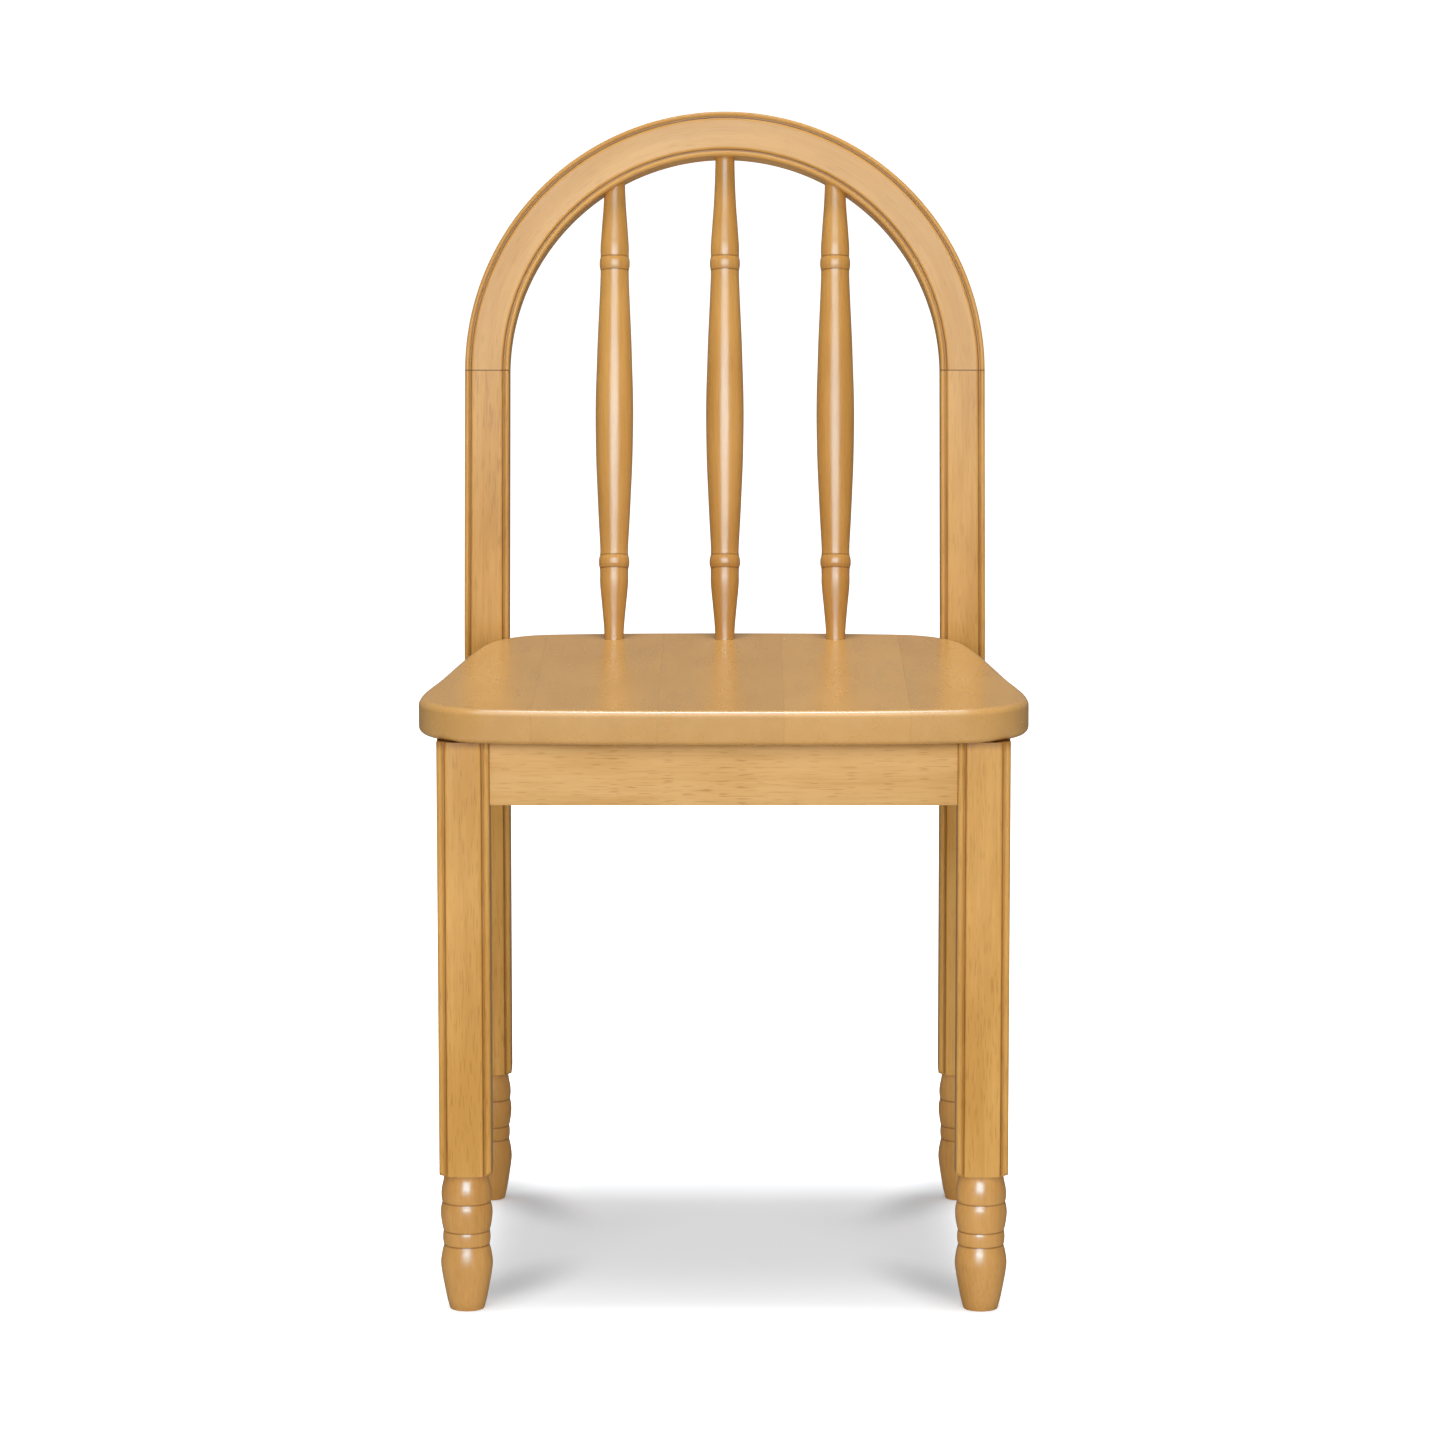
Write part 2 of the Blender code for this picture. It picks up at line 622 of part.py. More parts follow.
def make_corner_blocks(bores, wood, steel):
    """A brace across each corner, two screws from it into the aprons and one up into the seat."""
    apron_screw = screw_mesh(APRON_SCREW_SEAT + APRON_SCREW_BITE, "apron_screw")
    seat_screw = screw_mesh(SEAT_SCREW_SEAT + SEAT_SCREW_BITE, "seat_screw")
    side_face = SIDE_APRON_X - APRON_THICKNESS / 2
    front_face = FRONT_APRON_Y + APRON_THICKNESS / 2
    back_face = BACK_APRON_Y - APRON_THICKNESS / 2
    low = FRAME_TOP - BRACE_HEIGHT
    for end, face, turn, intrusion in (
        ("front", front_face, 1, side_face - LEG_INNER + LEG_BACK - front_face),
        ("back", back_face, -1, side_face - POST_INNER + back_face - POST_FRONT),
    ):
        near = intrusion + BRACE_RELIEF
        far = near + BRACE_WIDTH * math.sqrt(2)
        for side, sign in SIDES.items():
            # Local X runs in from the side apron, local Y in from the front or back apron
            corner = Matrix.Translation((sign * side_face, face, 0)) @ Matrix.Diagonal((-sign, turn, 1, 1))
            ends = ((near, GAP), (far, GAP), (GAP, far), (GAP, near))
            outline = [(corner @ Vector((*point, 0))).xy for point in ends]
            name = f"corner_block_{end}_{side}"
            bm = slab(outline, low, FRAME_TOP)
            block = place(name, mesh_from(bm, name), wood)
            block_bores = bmesh.new()
            middle = (near + far) / 2
            upper = (low + FRAME_TOP + BRACE_SCREW_STAGGER) / 2
            lower = upper - BRACE_SCREW_STAGGER
            for target, head, direction in (
                (f"{end}_apron", (middle, APRON_SCREW_SEAT, upper), (0, -turn, 0)),
                (f"{side}_apron", (APRON_SCREW_SEAT, middle, lower), (sign, 0, 0)),
            ):
                head = corner @ Vector(head)
                screw_bores(head, direction, block_bores, APRON_SCREW_SEAT, bores[target], APRON_SCREW_BITE)
                matrix = Matrix.Translation(head) @ along(direction)
                place(f"screw_{end}_{side}_to_{target}", apron_screw, steel, matrix)
            head = corner @ Vector((middle / 2, middle / 2, SEAT_UNDERSIDE - SEAT_SCREW_SEAT))
            screw_bores(head, (0, 0, 1), block_bores, SEAT_SCREW_SEAT, bores["seat"], SEAT_SCREW_BITE)
            place(f"screw_{end}_{side}_to_seat", seat_screw, steel, Matrix.Translation(head))
            cut(block, block_bores, f"{name}_bores")


def main():
    """Builds the whole chair."""
    clear_scene()
    pieces = {"seat": make_seat(finish("seat_board", (0.60, 0.33, 0.13), 0.32))}
    for side, leg in make_front_legs(finish("front_leg_wood", (0.62, 0.34, 0.12), 0.35)).items():
        pieces[f"front_leg_{side}"] = leg
    for side, post in make_back_posts(finish("back_post_wood", (0.60, 0.32, 0.11), 0.35)).items():
        pieces[f"back_post_{side}"] = post
    pieces["back_bow"] = make_bow(finish("back_bow_wood", (0.68, 0.40, 0.18), 0.35))
    make_spindles(finish("spindle_wood", (0.58, 0.30, 0.09), 0.30))
    for name, apron in make_aprons(finish("apron_wood", (0.62, 0.35, 0.13), 0.38)).items():
        pieces[f"{name}_apron"] = apron
    bores = {name: bmesh.new() for name in pieces}
    make_dowels(bores, finish("dowel_wood", (0.70, 0.52, 0.32), 0.6))
    block_wood = finish("block_wood", (0.66, 0.46, 0.26), 0.6)
    make_corner_blocks(bores, block_wood, finish("screw_steel", (0.62, 0.60, 0.55), 0.35, 1.0))
    for name, bm in bores.items():
        cut(pieces[name], bm, f"{name}_bores")


main()
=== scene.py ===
"""Looks of the spindle back chair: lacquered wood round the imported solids, on a plain pale floor.

Metres, +Z up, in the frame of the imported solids. The front faces -Y, and left is the -X side.
"""

import json
import math

import bmesh
import bpy
from bpy.props import FloatProperty, FloatVectorProperty, PointerProperty
from mathutils import Matrix, Vector
from mathutils.geometry import interpolate_bezier

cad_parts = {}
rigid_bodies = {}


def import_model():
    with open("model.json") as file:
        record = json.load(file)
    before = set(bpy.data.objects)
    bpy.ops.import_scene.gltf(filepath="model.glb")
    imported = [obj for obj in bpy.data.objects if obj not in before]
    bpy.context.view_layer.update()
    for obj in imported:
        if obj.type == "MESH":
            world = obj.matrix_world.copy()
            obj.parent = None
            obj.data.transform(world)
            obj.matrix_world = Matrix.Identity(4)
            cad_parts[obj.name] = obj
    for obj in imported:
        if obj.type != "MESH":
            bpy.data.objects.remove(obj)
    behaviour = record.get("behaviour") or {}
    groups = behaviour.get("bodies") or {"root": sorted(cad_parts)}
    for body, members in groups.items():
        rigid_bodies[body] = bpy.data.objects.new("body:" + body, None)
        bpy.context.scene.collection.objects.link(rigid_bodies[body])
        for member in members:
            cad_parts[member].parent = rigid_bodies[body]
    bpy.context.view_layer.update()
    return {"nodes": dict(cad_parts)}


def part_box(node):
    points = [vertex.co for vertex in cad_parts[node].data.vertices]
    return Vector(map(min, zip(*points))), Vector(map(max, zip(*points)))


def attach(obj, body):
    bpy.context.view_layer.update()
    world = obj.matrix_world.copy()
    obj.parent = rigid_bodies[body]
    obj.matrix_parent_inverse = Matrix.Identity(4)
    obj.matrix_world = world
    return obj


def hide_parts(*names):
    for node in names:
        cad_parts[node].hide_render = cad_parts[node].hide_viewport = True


bl_info = {
    "name": "Spindle Back Chair",
    "version": (1, 0, 0),
    "blender": (4, 5, 0),
    "location": "3D View > Sidebar > Chair",
    "description": "Builds the wood pieces, finishes and studio of a spindle back dining chair",
    "category": "Add Mesh",
}

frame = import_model()
NODES = frame["nodes"]
SEAT_LOW, SEAT_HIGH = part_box("seat")
LEG_LOW, LEG_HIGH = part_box("front_leg_left")
POST_LOW, POST_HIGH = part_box("back_post_left")
BOW_LOW, BOW_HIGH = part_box("back_bow")

SIDES = {"left": -1, "right": 1}
GAP = 0.0003  # clearance between pieces that fit together
MERGE = 0.00001  # points nearer than this are one
OVERRUN = 0.004  # reach of the lathe's cutter past the end of a leg
SUPPORT = 0.0004  # width of the narrow strips that keep flat faces flat beside a rounding
CREASE = math.radians(32)  # edges that turn by more than this stay sharp

# Knots of the right half of the seat's outline, from the middle of the front edge to the middle of
# the back edge: share of the half width, share of the depth, and heading in degrees from +X.
SEAT_OUTLINE_SHARES = (
    (0.000, 0.000, 0),
    (0.775, 0.020, 8),
    (1.000, 0.165, 90),
    (0.949, 0.409, 97),
    (0.842, 0.836, 101),
    (0.615, 0.981, 172),
    (0.000, 1.000, 180),
)
SEAT_OUTLINE_STEPS = (16, 20, 10, 12, 20, 12)

# Turned foot, as runs of (share of the half side, share of the foot's height) between sharp lines
FOOT_RUNS = (
    ((0.645, 0.000), (0.668, 0.008)),
    (
        (0.668, 0.008), (0.745, 0.060), (0.835, 0.140), (0.915, 0.220), (0.968, 0.280),
        (0.998, 0.333), (0.985, 0.375), (0.935, 0.430), (0.870, 0.473),
    ),
    ((0.870, 0.473), (0.900, 0.492), (0.915, 0.525), (0.908, 0.555), (0.885, 0.577)),
    (
        (0.885, 0.577), (0.925, 0.603), (0.970, 0.650), (0.997, 0.700), (0.985, 0.745),
        (0.930, 0.787),
    ),
    (
        (0.930, 0.787), (0.955, 0.808), (0.968, 0.850), (0.945, 0.893), (0.890, 0.940),
        (0.865, 0.970), (0.865, 0.998),
    ),
    ((0.865, 0.998), (1.050, 1.000)),
    ((1.050, 1.000), (1.220, 1.008), (1.450, 1.055)),
)
WASTE_SHARE = 1.7  # outer radius of the lathe's waste, of the half side
FOOT_LACQUER_SHARE = 0.999  # top of the foot's own lacquer, of its height
FOOT_LINES_SHARE = 0.9985  # top of its dark lines

# Spindle, as runs of (share of the centre spindle's height, share of the belly) between sharp lines
SPINDLE_RUNS = (
    (
        (0.000, 0.505), (0.025, 0.538), (0.050, 0.593), (0.075, 0.652), (0.100, 0.716),
        (0.120, 0.750), (0.133, 0.747), (0.146, 0.755),
    ),
    ((0.146, 0.755), (0.152, 0.797), (0.158, 0.812), (0.166, 0.798), (0.173, 0.750)),
    (
        (0.173, 0.750), (0.183, 0.738), (0.212, 0.772), (0.250, 0.826), (0.312, 0.900),
        (0.362, 0.955), (0.412, 0.985), (0.462, 1.000), (0.512, 0.985), (0.562, 0.945),
        (0.612, 0.905), (0.662, 0.850), (0.712, 0.792), (0.750, 0.755), (0.765, 0.750),
    ),
    ((0.765, 0.750), (0.771, 0.785), (0.780, 0.802), (0.788, 0.785), (0.793, 0.750)),
    (
        (0.793, 0.750), (0.812, 0.758), (0.830, 0.730), (0.864, 0.669), (0.897, 0.605),
        (0.945, 0.545), (1.000, 0.510),
    ),
)

# Steps of each curve and rounding
RUN_STEPS = 6
FOOT_SEGMENTS = 96
SPINDLE_SEGMENTS = 64
BOW_STEPS = 160
BEND_STEPS = 16
BEAD_STEPS = 12
ARRIS_STEPS = 4
BACK_STEPS = 6
RIM_STEPS = 8
APRON_STEPS = 4

# Reach in metres of each dark line, painted shade and painted highlight from its line, and its
# strength where that is less than full; lines in grooves are stain and painted shade
JOINT_LINE = 0.0008
FOOT_LINE = 0.0010
SPINDLE_LINE = 0.0009
GROOVE_LINE = 0.0016
BEAD_STRENGTH = 0.14
# Painted highlight along the arrises, which also stands for worn stain
ARRIS_HIGHLIGHT_LINE = 0.0010
ARRIS_HIGHLIGHT_STRENGTH = 0.6
# Painted shade in the corner under the seat, on the tops of legs and aprons
CORNER_SHADE_REACH = 0.007
CORNER_SHADE_STRENGTH = 0.85
# Painted shade round the seat's lower rim, and a slight darkening of the board's edge faces
RIM_SHADE_STRENGTH = 0.6
BOARD_EDGE_DARKENING = 0.18
UNDARKENED_RIM_SHARE = 0.9  # part of the seat's upper rim that is left undarkened, of its radius
STAIN_AND_SHADE_STRENGTH = 0.8
PATCHY_STRENGTHS = (0.75, 1.0)

# Where each piece's wood starts in the grain, and the step to its neighbour's
SEAT_GRAIN = -0.044
LEG_GRAIN, LEG_GRAIN_STEP = 0.31, 0.17
POST_GRAIN, POST_GRAIN_STEP = 0.83, 0.13
BOW_GRAIN = 1.57
SPINDLE_GRAIN, SPINDLE_GRAIN_STEP = 2.1, 0.37
APRON_GRAIN, APRON_GRAIN_STEP = 3.3, 0.29

SHEET_STEP = 200  # distance between neighbouring shader nodes on their sheet

# Cycles per metre of each noise, across the board, through it and along it
FIGURE_CYCLES = (55, 55, 5)
CLOUD_CYCLES = (16, 16, 9)
FIBRE_CYCLES = (620, 620, 18)
PORE_CYCLES = (1000, 1000, 75)
PATCH_CYCLES = (120, 120, 25)
SHINE_CYCLES = (60, 60, 12)
BRUSHING_CYCLES = 900.0
NOISE_ROUGHNESS = 0.55

# Ranges of the noises that are stretched to their full effect
NOISE_RANGE = (0.3, 0.7)
FIGURE_RANGE = (0.70, 1.30)
PORE_RANGE = (0.59, 0.74)
CROWD_RANGE = (0.40, 0.62)
CROWD_STRENGTHS = (0.45, 1.0)

# Seams between glued boards, half a board's width being 0.5, and the range of the boards' tones
SEAM_RANGE = (0.492, 0.5)
SEAM_STRENGTH = 0.25
SEAM_SHADE = 0.6
BOARD_TONES = (0.94, 1.04)

# Each lacquer's wood, where it isn't the plain one. Figure tells how much the late wood stands out.
PLAIN_LACQUER = {
    "kind": "flat", "tint": (1, 1, 1), "figure": 1.0, "pores": 0.5, "fibre": 0.5, "bump": 0.1
}
LACQUERS = {
    "Board lacquer": {
        "kind": "seat", "tint": (0.99, 1.01, 1.14), "figure": 0.35, "pores": 0.0, "fibre": 0.1,
        "bump": 0.0,
    },
    "Leg lacquer": {"pores": 0.32},
    "Foot lacquer": {"kind": "turned", "tint": (1.01, 0.97, 1.0), "pores": 0.2},
    "Bow lacquer": {"tint": (1.0, 1.0, 1.03), "figure": 0.8, "pores": 0.2, "bump": 0.02},
    "Spindle lacquer": {"kind": "turned", "tint": (0.98, 0.96, 0.92), "pores": 0.15},
    "Apron lacquer": {"tint": (1.0, 1.10, 1.60), "pores": 0.45},
}
LACQUER_IOR = 1.5
SHINE_SPREAD = (-0.02, 0.03)
RELIEF_DEPTH = 0.0004

# Bare wood, its colours as shares of one, and the steel of the screws
BARE_SHADES = {"Pale": 1.05, "Deep": 0.86, "Pore": 0.5}
BARE_RELIEF = 0.3
BARE_ROUGHNESS = 0.62
STEEL_COLOUR = (0.62, 0.60, 0.55)
STEEL_ROUGHNESS = (0.28, 0.48)

# The floor's lift grows to full between these distances from its middle, across and in depth; the
# lesser lift under the chair paints its shadow darker. Beside each foot, an arm of less lift, a
# painted shadow, has this middle, turn, and half width and half length.
FLOOR_RADIUS = 30
FLOOR_SEGMENTS = 96
FADE_ACROSS = (0.165, 0.24)
FADE_DEEP = (0.06, 0.46)
ARM_PLACE = (0.158, 0.140, 0)
ARM_TURN = math.radians(-25)
ARM_REACH = (0.045, 0.125, 1)

# Place of each light or panel, and its width and height. All face one point of the chair.
LIT_POINT = Vector((0, 0, 0.45))
LAMPS = {
    "key_light": ((-0.08, -2.30, 1.12), (2.2, 2.0)),
    "top_light": ((0, 0, 4.0), (1.3, 1.3)),
    "rear_light": ((1.8, 1.9, 1.7), (1.4, 1.4)),
    "side_light": ((1.9, 0, 1.2), (1.6, 1.0)),
    "high_glow": ((-0.05, -2.30, 1.70), (2.3, 0.72)),
    "middle_glow": ((-0.05, -2.30, 1.14), (2.3, 0.40)),
    "rim_glow": ((-0.2, -1.50, 2.50), (2.6, 2.0)),
    "low_glow": ((-0.12, -2.30, 0.55), (1.2, 0.4)),
}

# The photograph's camera: place in metres, then pitch, yaw and roll in degrees
CAMERA_PLACE = (0.01297, -4.72333, 1.13397)
CAMERA_TURNS = (8.7493, 0.1747, -0.0245)
SENSOR_WIDTH = 36
FOCAL_PIXELS = 6245.5
FRAME_PIXELS = 1445


def size(name, description, default):
    """A length in metres."""
    return FloatProperty(
        name=name, description=description, default=default, unit="LENGTH", precision=4, min=0
    )


def colour(name, description, default):
    """A linear colour."""
    return FloatVectorProperty(
        name=name, description=description, default=default, subtype="COLOR", size=3, min=0, max=1
    )


def share(name, description, default):
    """A share from nought to one."""
    return FloatProperty(
        name=name, description=description, default=default, subtype="FACTOR", min=0, max=1
    )


def power(name, description, default):
    """The power of a light in watts."""
    return FloatProperty(name=name, description=description, default=default, unit="POWER", min=0)


class SeatSizes(bpy.types.PropertyGroup):
    edge_round: size("Edge round", "Radius of the seat's upper and lower rims", 0.005)
    board_width: size("Board width", "Width of the boards glued up into the seat", 0.092)
    side_round: size("Apron round", "Radius of the lower edges of the aprons", 0.0015)


class PostSizes(bpy.types.PropertyGroup):
    leg_bead: size("Leg bead", "Width of the bead on each front edge of the front legs", 0.0047)
    post_bead: size("Post bead", "Width of the bead on the front edges of posts and bow", 0.0038)
    quirk_width: size("Quirk width", "Width of the groove that sets off a bead", 0.0018)
    quirk_depth: size("Quirk depth", "Depth of the groove that sets off a bead", 0.0016)
    arris_round: size("Arris round", "Rounding of the flat's edge beside the groove", 0.0012)
    back_round: size("Back round", "Rounding of the rear edges", 0.002)
    foot_height: size("Foot height", "Height of the turned foot", 0.103)
    post_depth: size("Post depth", "Depth of a back post from front to rear", 0.034)
    bend_radius: size("Bend radius", "Radius of the posts' bend at the seat", 0.15)
    rake: FloatProperty(
        name="Rake", description="Lean of the back", default=math.radians(11), subtype="ANGLE"
    )
    joint_height: size("Joint height", "Height of the joint between posts and bow", 0.6575)


class SpindleSizes(bpy.types.PropertyGroup):
    spacing: size("Spacing", "Distance between neighbouring spindles at the seat", 0.087)
    inset: size("Inset", "Distance of the spindles from the seat's back edge", 0.037)
    belly: size("Belly", "Largest diameter of a spindle", 0.030)
    socket: size("Socket", "Depth of a spindle's socket", 0.018)


class WoodFinish(bpy.types.PropertyGroup):
    pale: colour("Pale wood", "Colour of the early wood under the lacquer", (0.64, 0.345, 0.092))
    deep: colour("Deep wood", "Colour of the late wood under the lacquer", (0.53, 0.265, 0.058))
    pore: colour("Pores", "Colour of the pores", (0.30, 0.125, 0.022))
    # Dark colour of stain in grooves and joints, also used for painted shade in grooves, corners and
    # under the seat
    glaze: colour("Glaze", "Colour of the stain that gathers in grooves", (0.20, 0.072, 0.010))
    # Pale colour of the painted highlight along the arrises, also standing for worn stain
    lit_and_rubbed: colour("Rubbed edge", "Colour of wood where an edge is rubbed bare", (0.90, 0.66, 0.36))
    inner: colour("Bare wood", "Colour of the unlacquered blocks and dowels", (0.70, 0.50, 0.28))
    flat_roughness: share("Flat roughness", "Roughness of the lacquer on the flat pieces", 0.24)
    flat_sheen: share("Flat sheen", "Strength of reflections on the flat pieces", 0.16)
    turned_roughness: share("Turned roughness", "Roughness of the lacquer on turned wood", 0.30)
    turned_sheen: share("Turned sheen", "Strength of reflections on turned wood", 0.5)
    seat_roughness: share("Seat roughness", "Roughness of the lacquer on the seat", 0.28)
    seat_sheen: share("Seat sheen", "Strength of reflections on the seat", 0.8)
    sheen_colour: colour("Reflection colour", "Colour of reflections", (0.52, 0.82, 1.0))


class StudioSettings(bpy.types.PropertyGroup):
    key: power("Key light", "Power of the large front light", 42.0)
    top: power("Top light", "Power of the overhead light", 100.0)
    rear: power("Rear lights", "Power of each of the two rear lights", 4.5)
    side: power("Side lights", "Power of each of the two lights that narrow the floor's shadow", 7.0)
    high_glow: power("High glow", "Power of the panel mirrored in the spindles and the back", 72.0)
    middle_glow: power("Middle glow", "Power of the panel mirrored in the spindles alone", 26.0)
    rim_glow: power("Rim glow", "Power of the panel mirrored along the seat's upper rim", 52.0)
    low_glow: power("Low glow", "Power of the panel mirrored in the turned feet", 60.0)
    ambient: share("Ambient", "Strength of the plain surroundings", 0.20)
    reflected: share("Reflected surroundings", "Strength of the surroundings in reflections", 0.11)
    floor: colour("Floor", "Colour of the floor", (0.77, 0.81, 0.855))
    lift: share("Floor lift", "Light added to the floor under the chair, to the camera only", 0.235)
    # Less lift beside the feet, a painted shadow
    contact: share("Foot contact", "Share of the floor lift that is left beside the feet", 0.25)


def settings():
    """The chair's settings on the scene."""
    return bpy.context.scene.spindle_chair


# ---- shapes ----


def fresh_mesh(bm, name):
    """A smooth-shaded mesh with sharp creases, its faces pointing outwards."""
    bmesh.ops.recalc_face_normals(bm, faces=bm.faces)
    mesh = bpy.data.meshes.new(name)
    bm.to_mesh(mesh)
    bm.free()
    mesh.shade_smooth()
    mesh.set_sharp_from_angle(angle=CREASE)
    return mesh

def placed(name, data):
    """A new object in the scene."""
    made = bpy.data.objects.new(name, data)
    bpy.context.scene.collection.objects.link(made)
    return made


def carved(name, mesh, cutters, level_faces=False):
    """The mesh with the cutters' volume taken away, and with flat faces shaded flat where asked."""
    wood = placed(name, mesh)
    helpers = [placed(f"{name}_cutter", cutter) for cutter in cutters]
    for helper in helpers:
        modifier = wood.modifiers.new("cut", "BOOLEAN")
        modifier.operation = "DIFFERENCE"
        modifier.solver = "EXACT"
        modifier.object = helper
    if level_faces:
        wood.modifiers.new("level", "WEIGHTED_NORMAL").keep_sharp = True
    bpy.context.view_layer.update()
    graph = bpy.context.evaluated_depsgraph_get()
    result = bpy.data.meshes.new_from_object(wood.evaluated_get(graph))
    for obj in (wood, *helpers):
        bpy.data.objects.remove(obj)
    if not result.polygons:
        raise RuntimeError(f"{name} came out empty")
    result.shade_smooth()
    result.set_sharp_from_angle(angle=CREASE)
    return result


def of_kind(kind, geom):
    """The faces, or the vertices, among what an operator gives back."""
    return [item for item in geom if isinstance(item, kind)]


def raise_face(bm, face, offset):
    """Extrudes a face by an offset and returns the new end face."""
    made = bmesh.ops.extrude_face_region(bm, geom=[face])["geom"]
    bmesh.ops.translate(bm, vec=offset, verts=of_kind(bmesh.types.BMVert, made))
    return of_kind(bmesh.types.BMFace, made)[0]


def swing_faces(bm, faces, centre, axis, angle, steps):
    """Sweeps faces round a centre and returns the new end faces."""
    swept = bmesh.ops.spin(bm, geom=faces, cent=centre, axis=axis, angle=angle, steps=steps)
    return of_kind(bmesh.types.BMFace, swept["geom_last"])


def drop_inner_faces(bm):
    """Deletes the faces left inside where one swept length meets the next."""
    inside = [f for f in bm.faces if all(len(edge.link_faces) > 2 for edge in f.edges)]
    bmesh.ops.delete(bm, geom=inside, context="FACES")


def ease(bm, geom, radius, steps, affect="EDGES"):
    """Rounds edges, or the corners of a flat section."""
    bmesh.ops.bevel(
        bm, geom=geom, offset=radius, affect=affect, segments=steps, profile=0.5, material=-1
    )


def square_block(centre, extent):
    """A block of this extent round its centre."""
    bm = bmesh.new()
    matrix = Matrix.Translation(centre) @ Matrix.Diagonal((*extent, 1))
    bmesh.ops.create_cube(bm, size=1, matrix=matrix)
    return bm


def smooth_run(points, steps):
    """A smooth line through the points of a run, with its two ends left sharp."""
    points = [Vector((*point, 0)) for point in points]
    line = []
    for i, (start, end) in enumerate(zip(points, points[1:])):
        before = points[i - 1] if i else start
        after = points[i + 2] if i + 2 < len(points) else end
        reach = (end - start).length / 3
        leave = start + reach * (end - before).normalized()
        arrive = end - reach * (after - start).normalized()
        line += interpolate_bezier(start, leave, arrive, end, steps + 1)[:-1]
    line.append(points[-1])
    return [(p.x, p.y) for p in line]


def joined_runs(runs):
    """The smooth lines of all runs, end to end."""
    line = []
    for run in runs:
        line += smooth_run(run, RUN_STEPS if len(run) > 2 else 1)[bool(line) :]
    return line


def turned(profile, segments, hollow=False):
    """A turned solid about Z from (radius, height) points, or a ring from a closed profile."""
    bm = bmesh.new()
    points = list(profile)
    if hollow:
        points.append(points[0])
    else:
        points = [(0, points[0][1]), *points, (0, points[-1][1])]
    verts = [bm.verts.new((radius, 0, height)) for radius, height in points]
    edges = [bm.edges.new(pair) for pair in zip(verts, verts[1:])]
    bmesh.ops.spin(
        bm,
        geom=verts + edges,
        cent=(0, 0, 0),
        axis=(0, 0, 1),
        angle=math.tau,
        steps=segments,
        use_merge=True,
    )
    bmesh.ops.remove_doubles(bm, verts=bm.verts, dist=MERGE)
    return bm


def along(direction):
    """The rotation that turns +Z towards a direction."""
    return Vector(direction).to_track_quat("Z", "Y").to_matrix().to_4x4()


def corners_at(bm, x, y):
    """The vertices of a mirrored section at this distance from its middle and this depth."""
    return [v for v in bm.verts if abs(abs(v.co.x) - x) < MERGE and abs(v.co.y - y) < MERGE]


def moulded_section(width, depth, bead, sizes):
    """A face in (x, y): flat front, a groove and a bead at each front edge, and eased rear edges."""
    bm = bmesh.new()
    half, front, back = width / 2, -depth / 2, depth / 2
    radius = bead / 2
    arris = half - bead - sizes.quirk_width
    floor = front + sizes.quirk_depth
    centre = Vector((half - radius, front + radius, 0))
    turn = math.pi - math.asin(1 - sizes.quirk_depth / radius)
    first = bm.verts.new(centre + radius * Vector((math.cos(turn), -math.sin(turn), 0)))
    swept = bmesh.ops.spin(
        bm, geom=[first], cent=centre, axis=(0, 0, 1), angle=turn, steps=BEAD_STEPS
    )
    last = of_kind(bmesh.types.BMVert, swept["geom_last"])[0]
    strip = SUPPORT + sizes.arris_round
    before = [(0, front), (arris - strip, front), (arris, front)]
    before.append((arris + sizes.quirk_width / 2, floor))
    strip = sizes.back_round + SUPPORT
    after = [(half, front + radius + SUPPORT), (half, back - strip), (half, back)]
    after += [(half - strip, back), (0, back)]
    head = [bm.verts.new((*point, 0)) for point in before] + [first]
    tail = [last] + [bm.verts.new((*point, 0)) for point in after]
    for pair in [*zip(head, head[1:]), *zip(tail, tail[1:])]:
        bm.edges.new(pair)
    bmesh.ops.mirror(bm, geom=bm.verts[:] + bm.edges[:], matrix=Matrix(), merge_dist=MERGE, axis="X")
    bmesh.ops.contextual_create(bm, geom=bm.edges[:])
    bmesh.ops.dissolve_verts(bm, verts=[v for v in bm.verts if abs(v.co.x) < MERGE])
    ease(bm, corners_at(bm, arris, front), sizes.arris_round, ARRIS_STEPS, "VERTICES")
    ease(bm, corners_at(bm, half, back), sizes.back_round, BACK_STEPS, "VERTICES")
    if len(bm.faces) != 1:
        raise RuntimeError("the moulded section isn't one face")
    return bm


def foot_waste(half, sizes, matrix):
    """The ring of wood that the lathe takes off a square leg to leave its turned foot."""
    profile = [(r * half, height * sizes.foot_height) for r, height in joined_runs(FOOT_RUNS)]
    first, last = profile[0], profile[-1]
    ring = [(first[0], first[1] - OVERRUN), *profile]
    ring += [(WASTE_SHARE * half, last[1]), (WASTE_SHARE * half, first[1] - OVERRUN)]
    waste = fresh_mesh(turned(ring, FOOT_SEGMENTS, hollow=True), "foot_waste")
    waste.transform(matrix @ Matrix.Rotation(math.pi / FOOT_SEGMENTS, 4, "Z"))
    return waste


def bow_plane(sizes):
    """The raked plane that holds the bow: local X is the chair's X, local Z runs up the rake."""
    depth = sizes.post_depth
    start = SEAT_HIGH.z - (sizes.bend_radius + depth / 2) * math.tan(sizes.rake / 2)
    rise = sizes.bend_radius * math.sin(sizes.rake)
    raked = (sizes.joint_height - start - rise) / math.cos(sizes.rake)
    shift = sizes.bend_radius * (1 - math.cos(sizes.rake)) + raked * math.sin(sizes.rake)
    centre = (0, POST_LOW.y + depth / 2 + shift, sizes.joint_height)
    return Matrix.Translation(centre) @ Matrix.Rotation(-sizes.rake, 4, "X"), start, raked


def bow_inner():
    """Inner radius of the bow."""
    return (BOW_HIGH.x - BOW_LOW.x) / 2 - (POST_HIGH.x - POST_LOW.x)


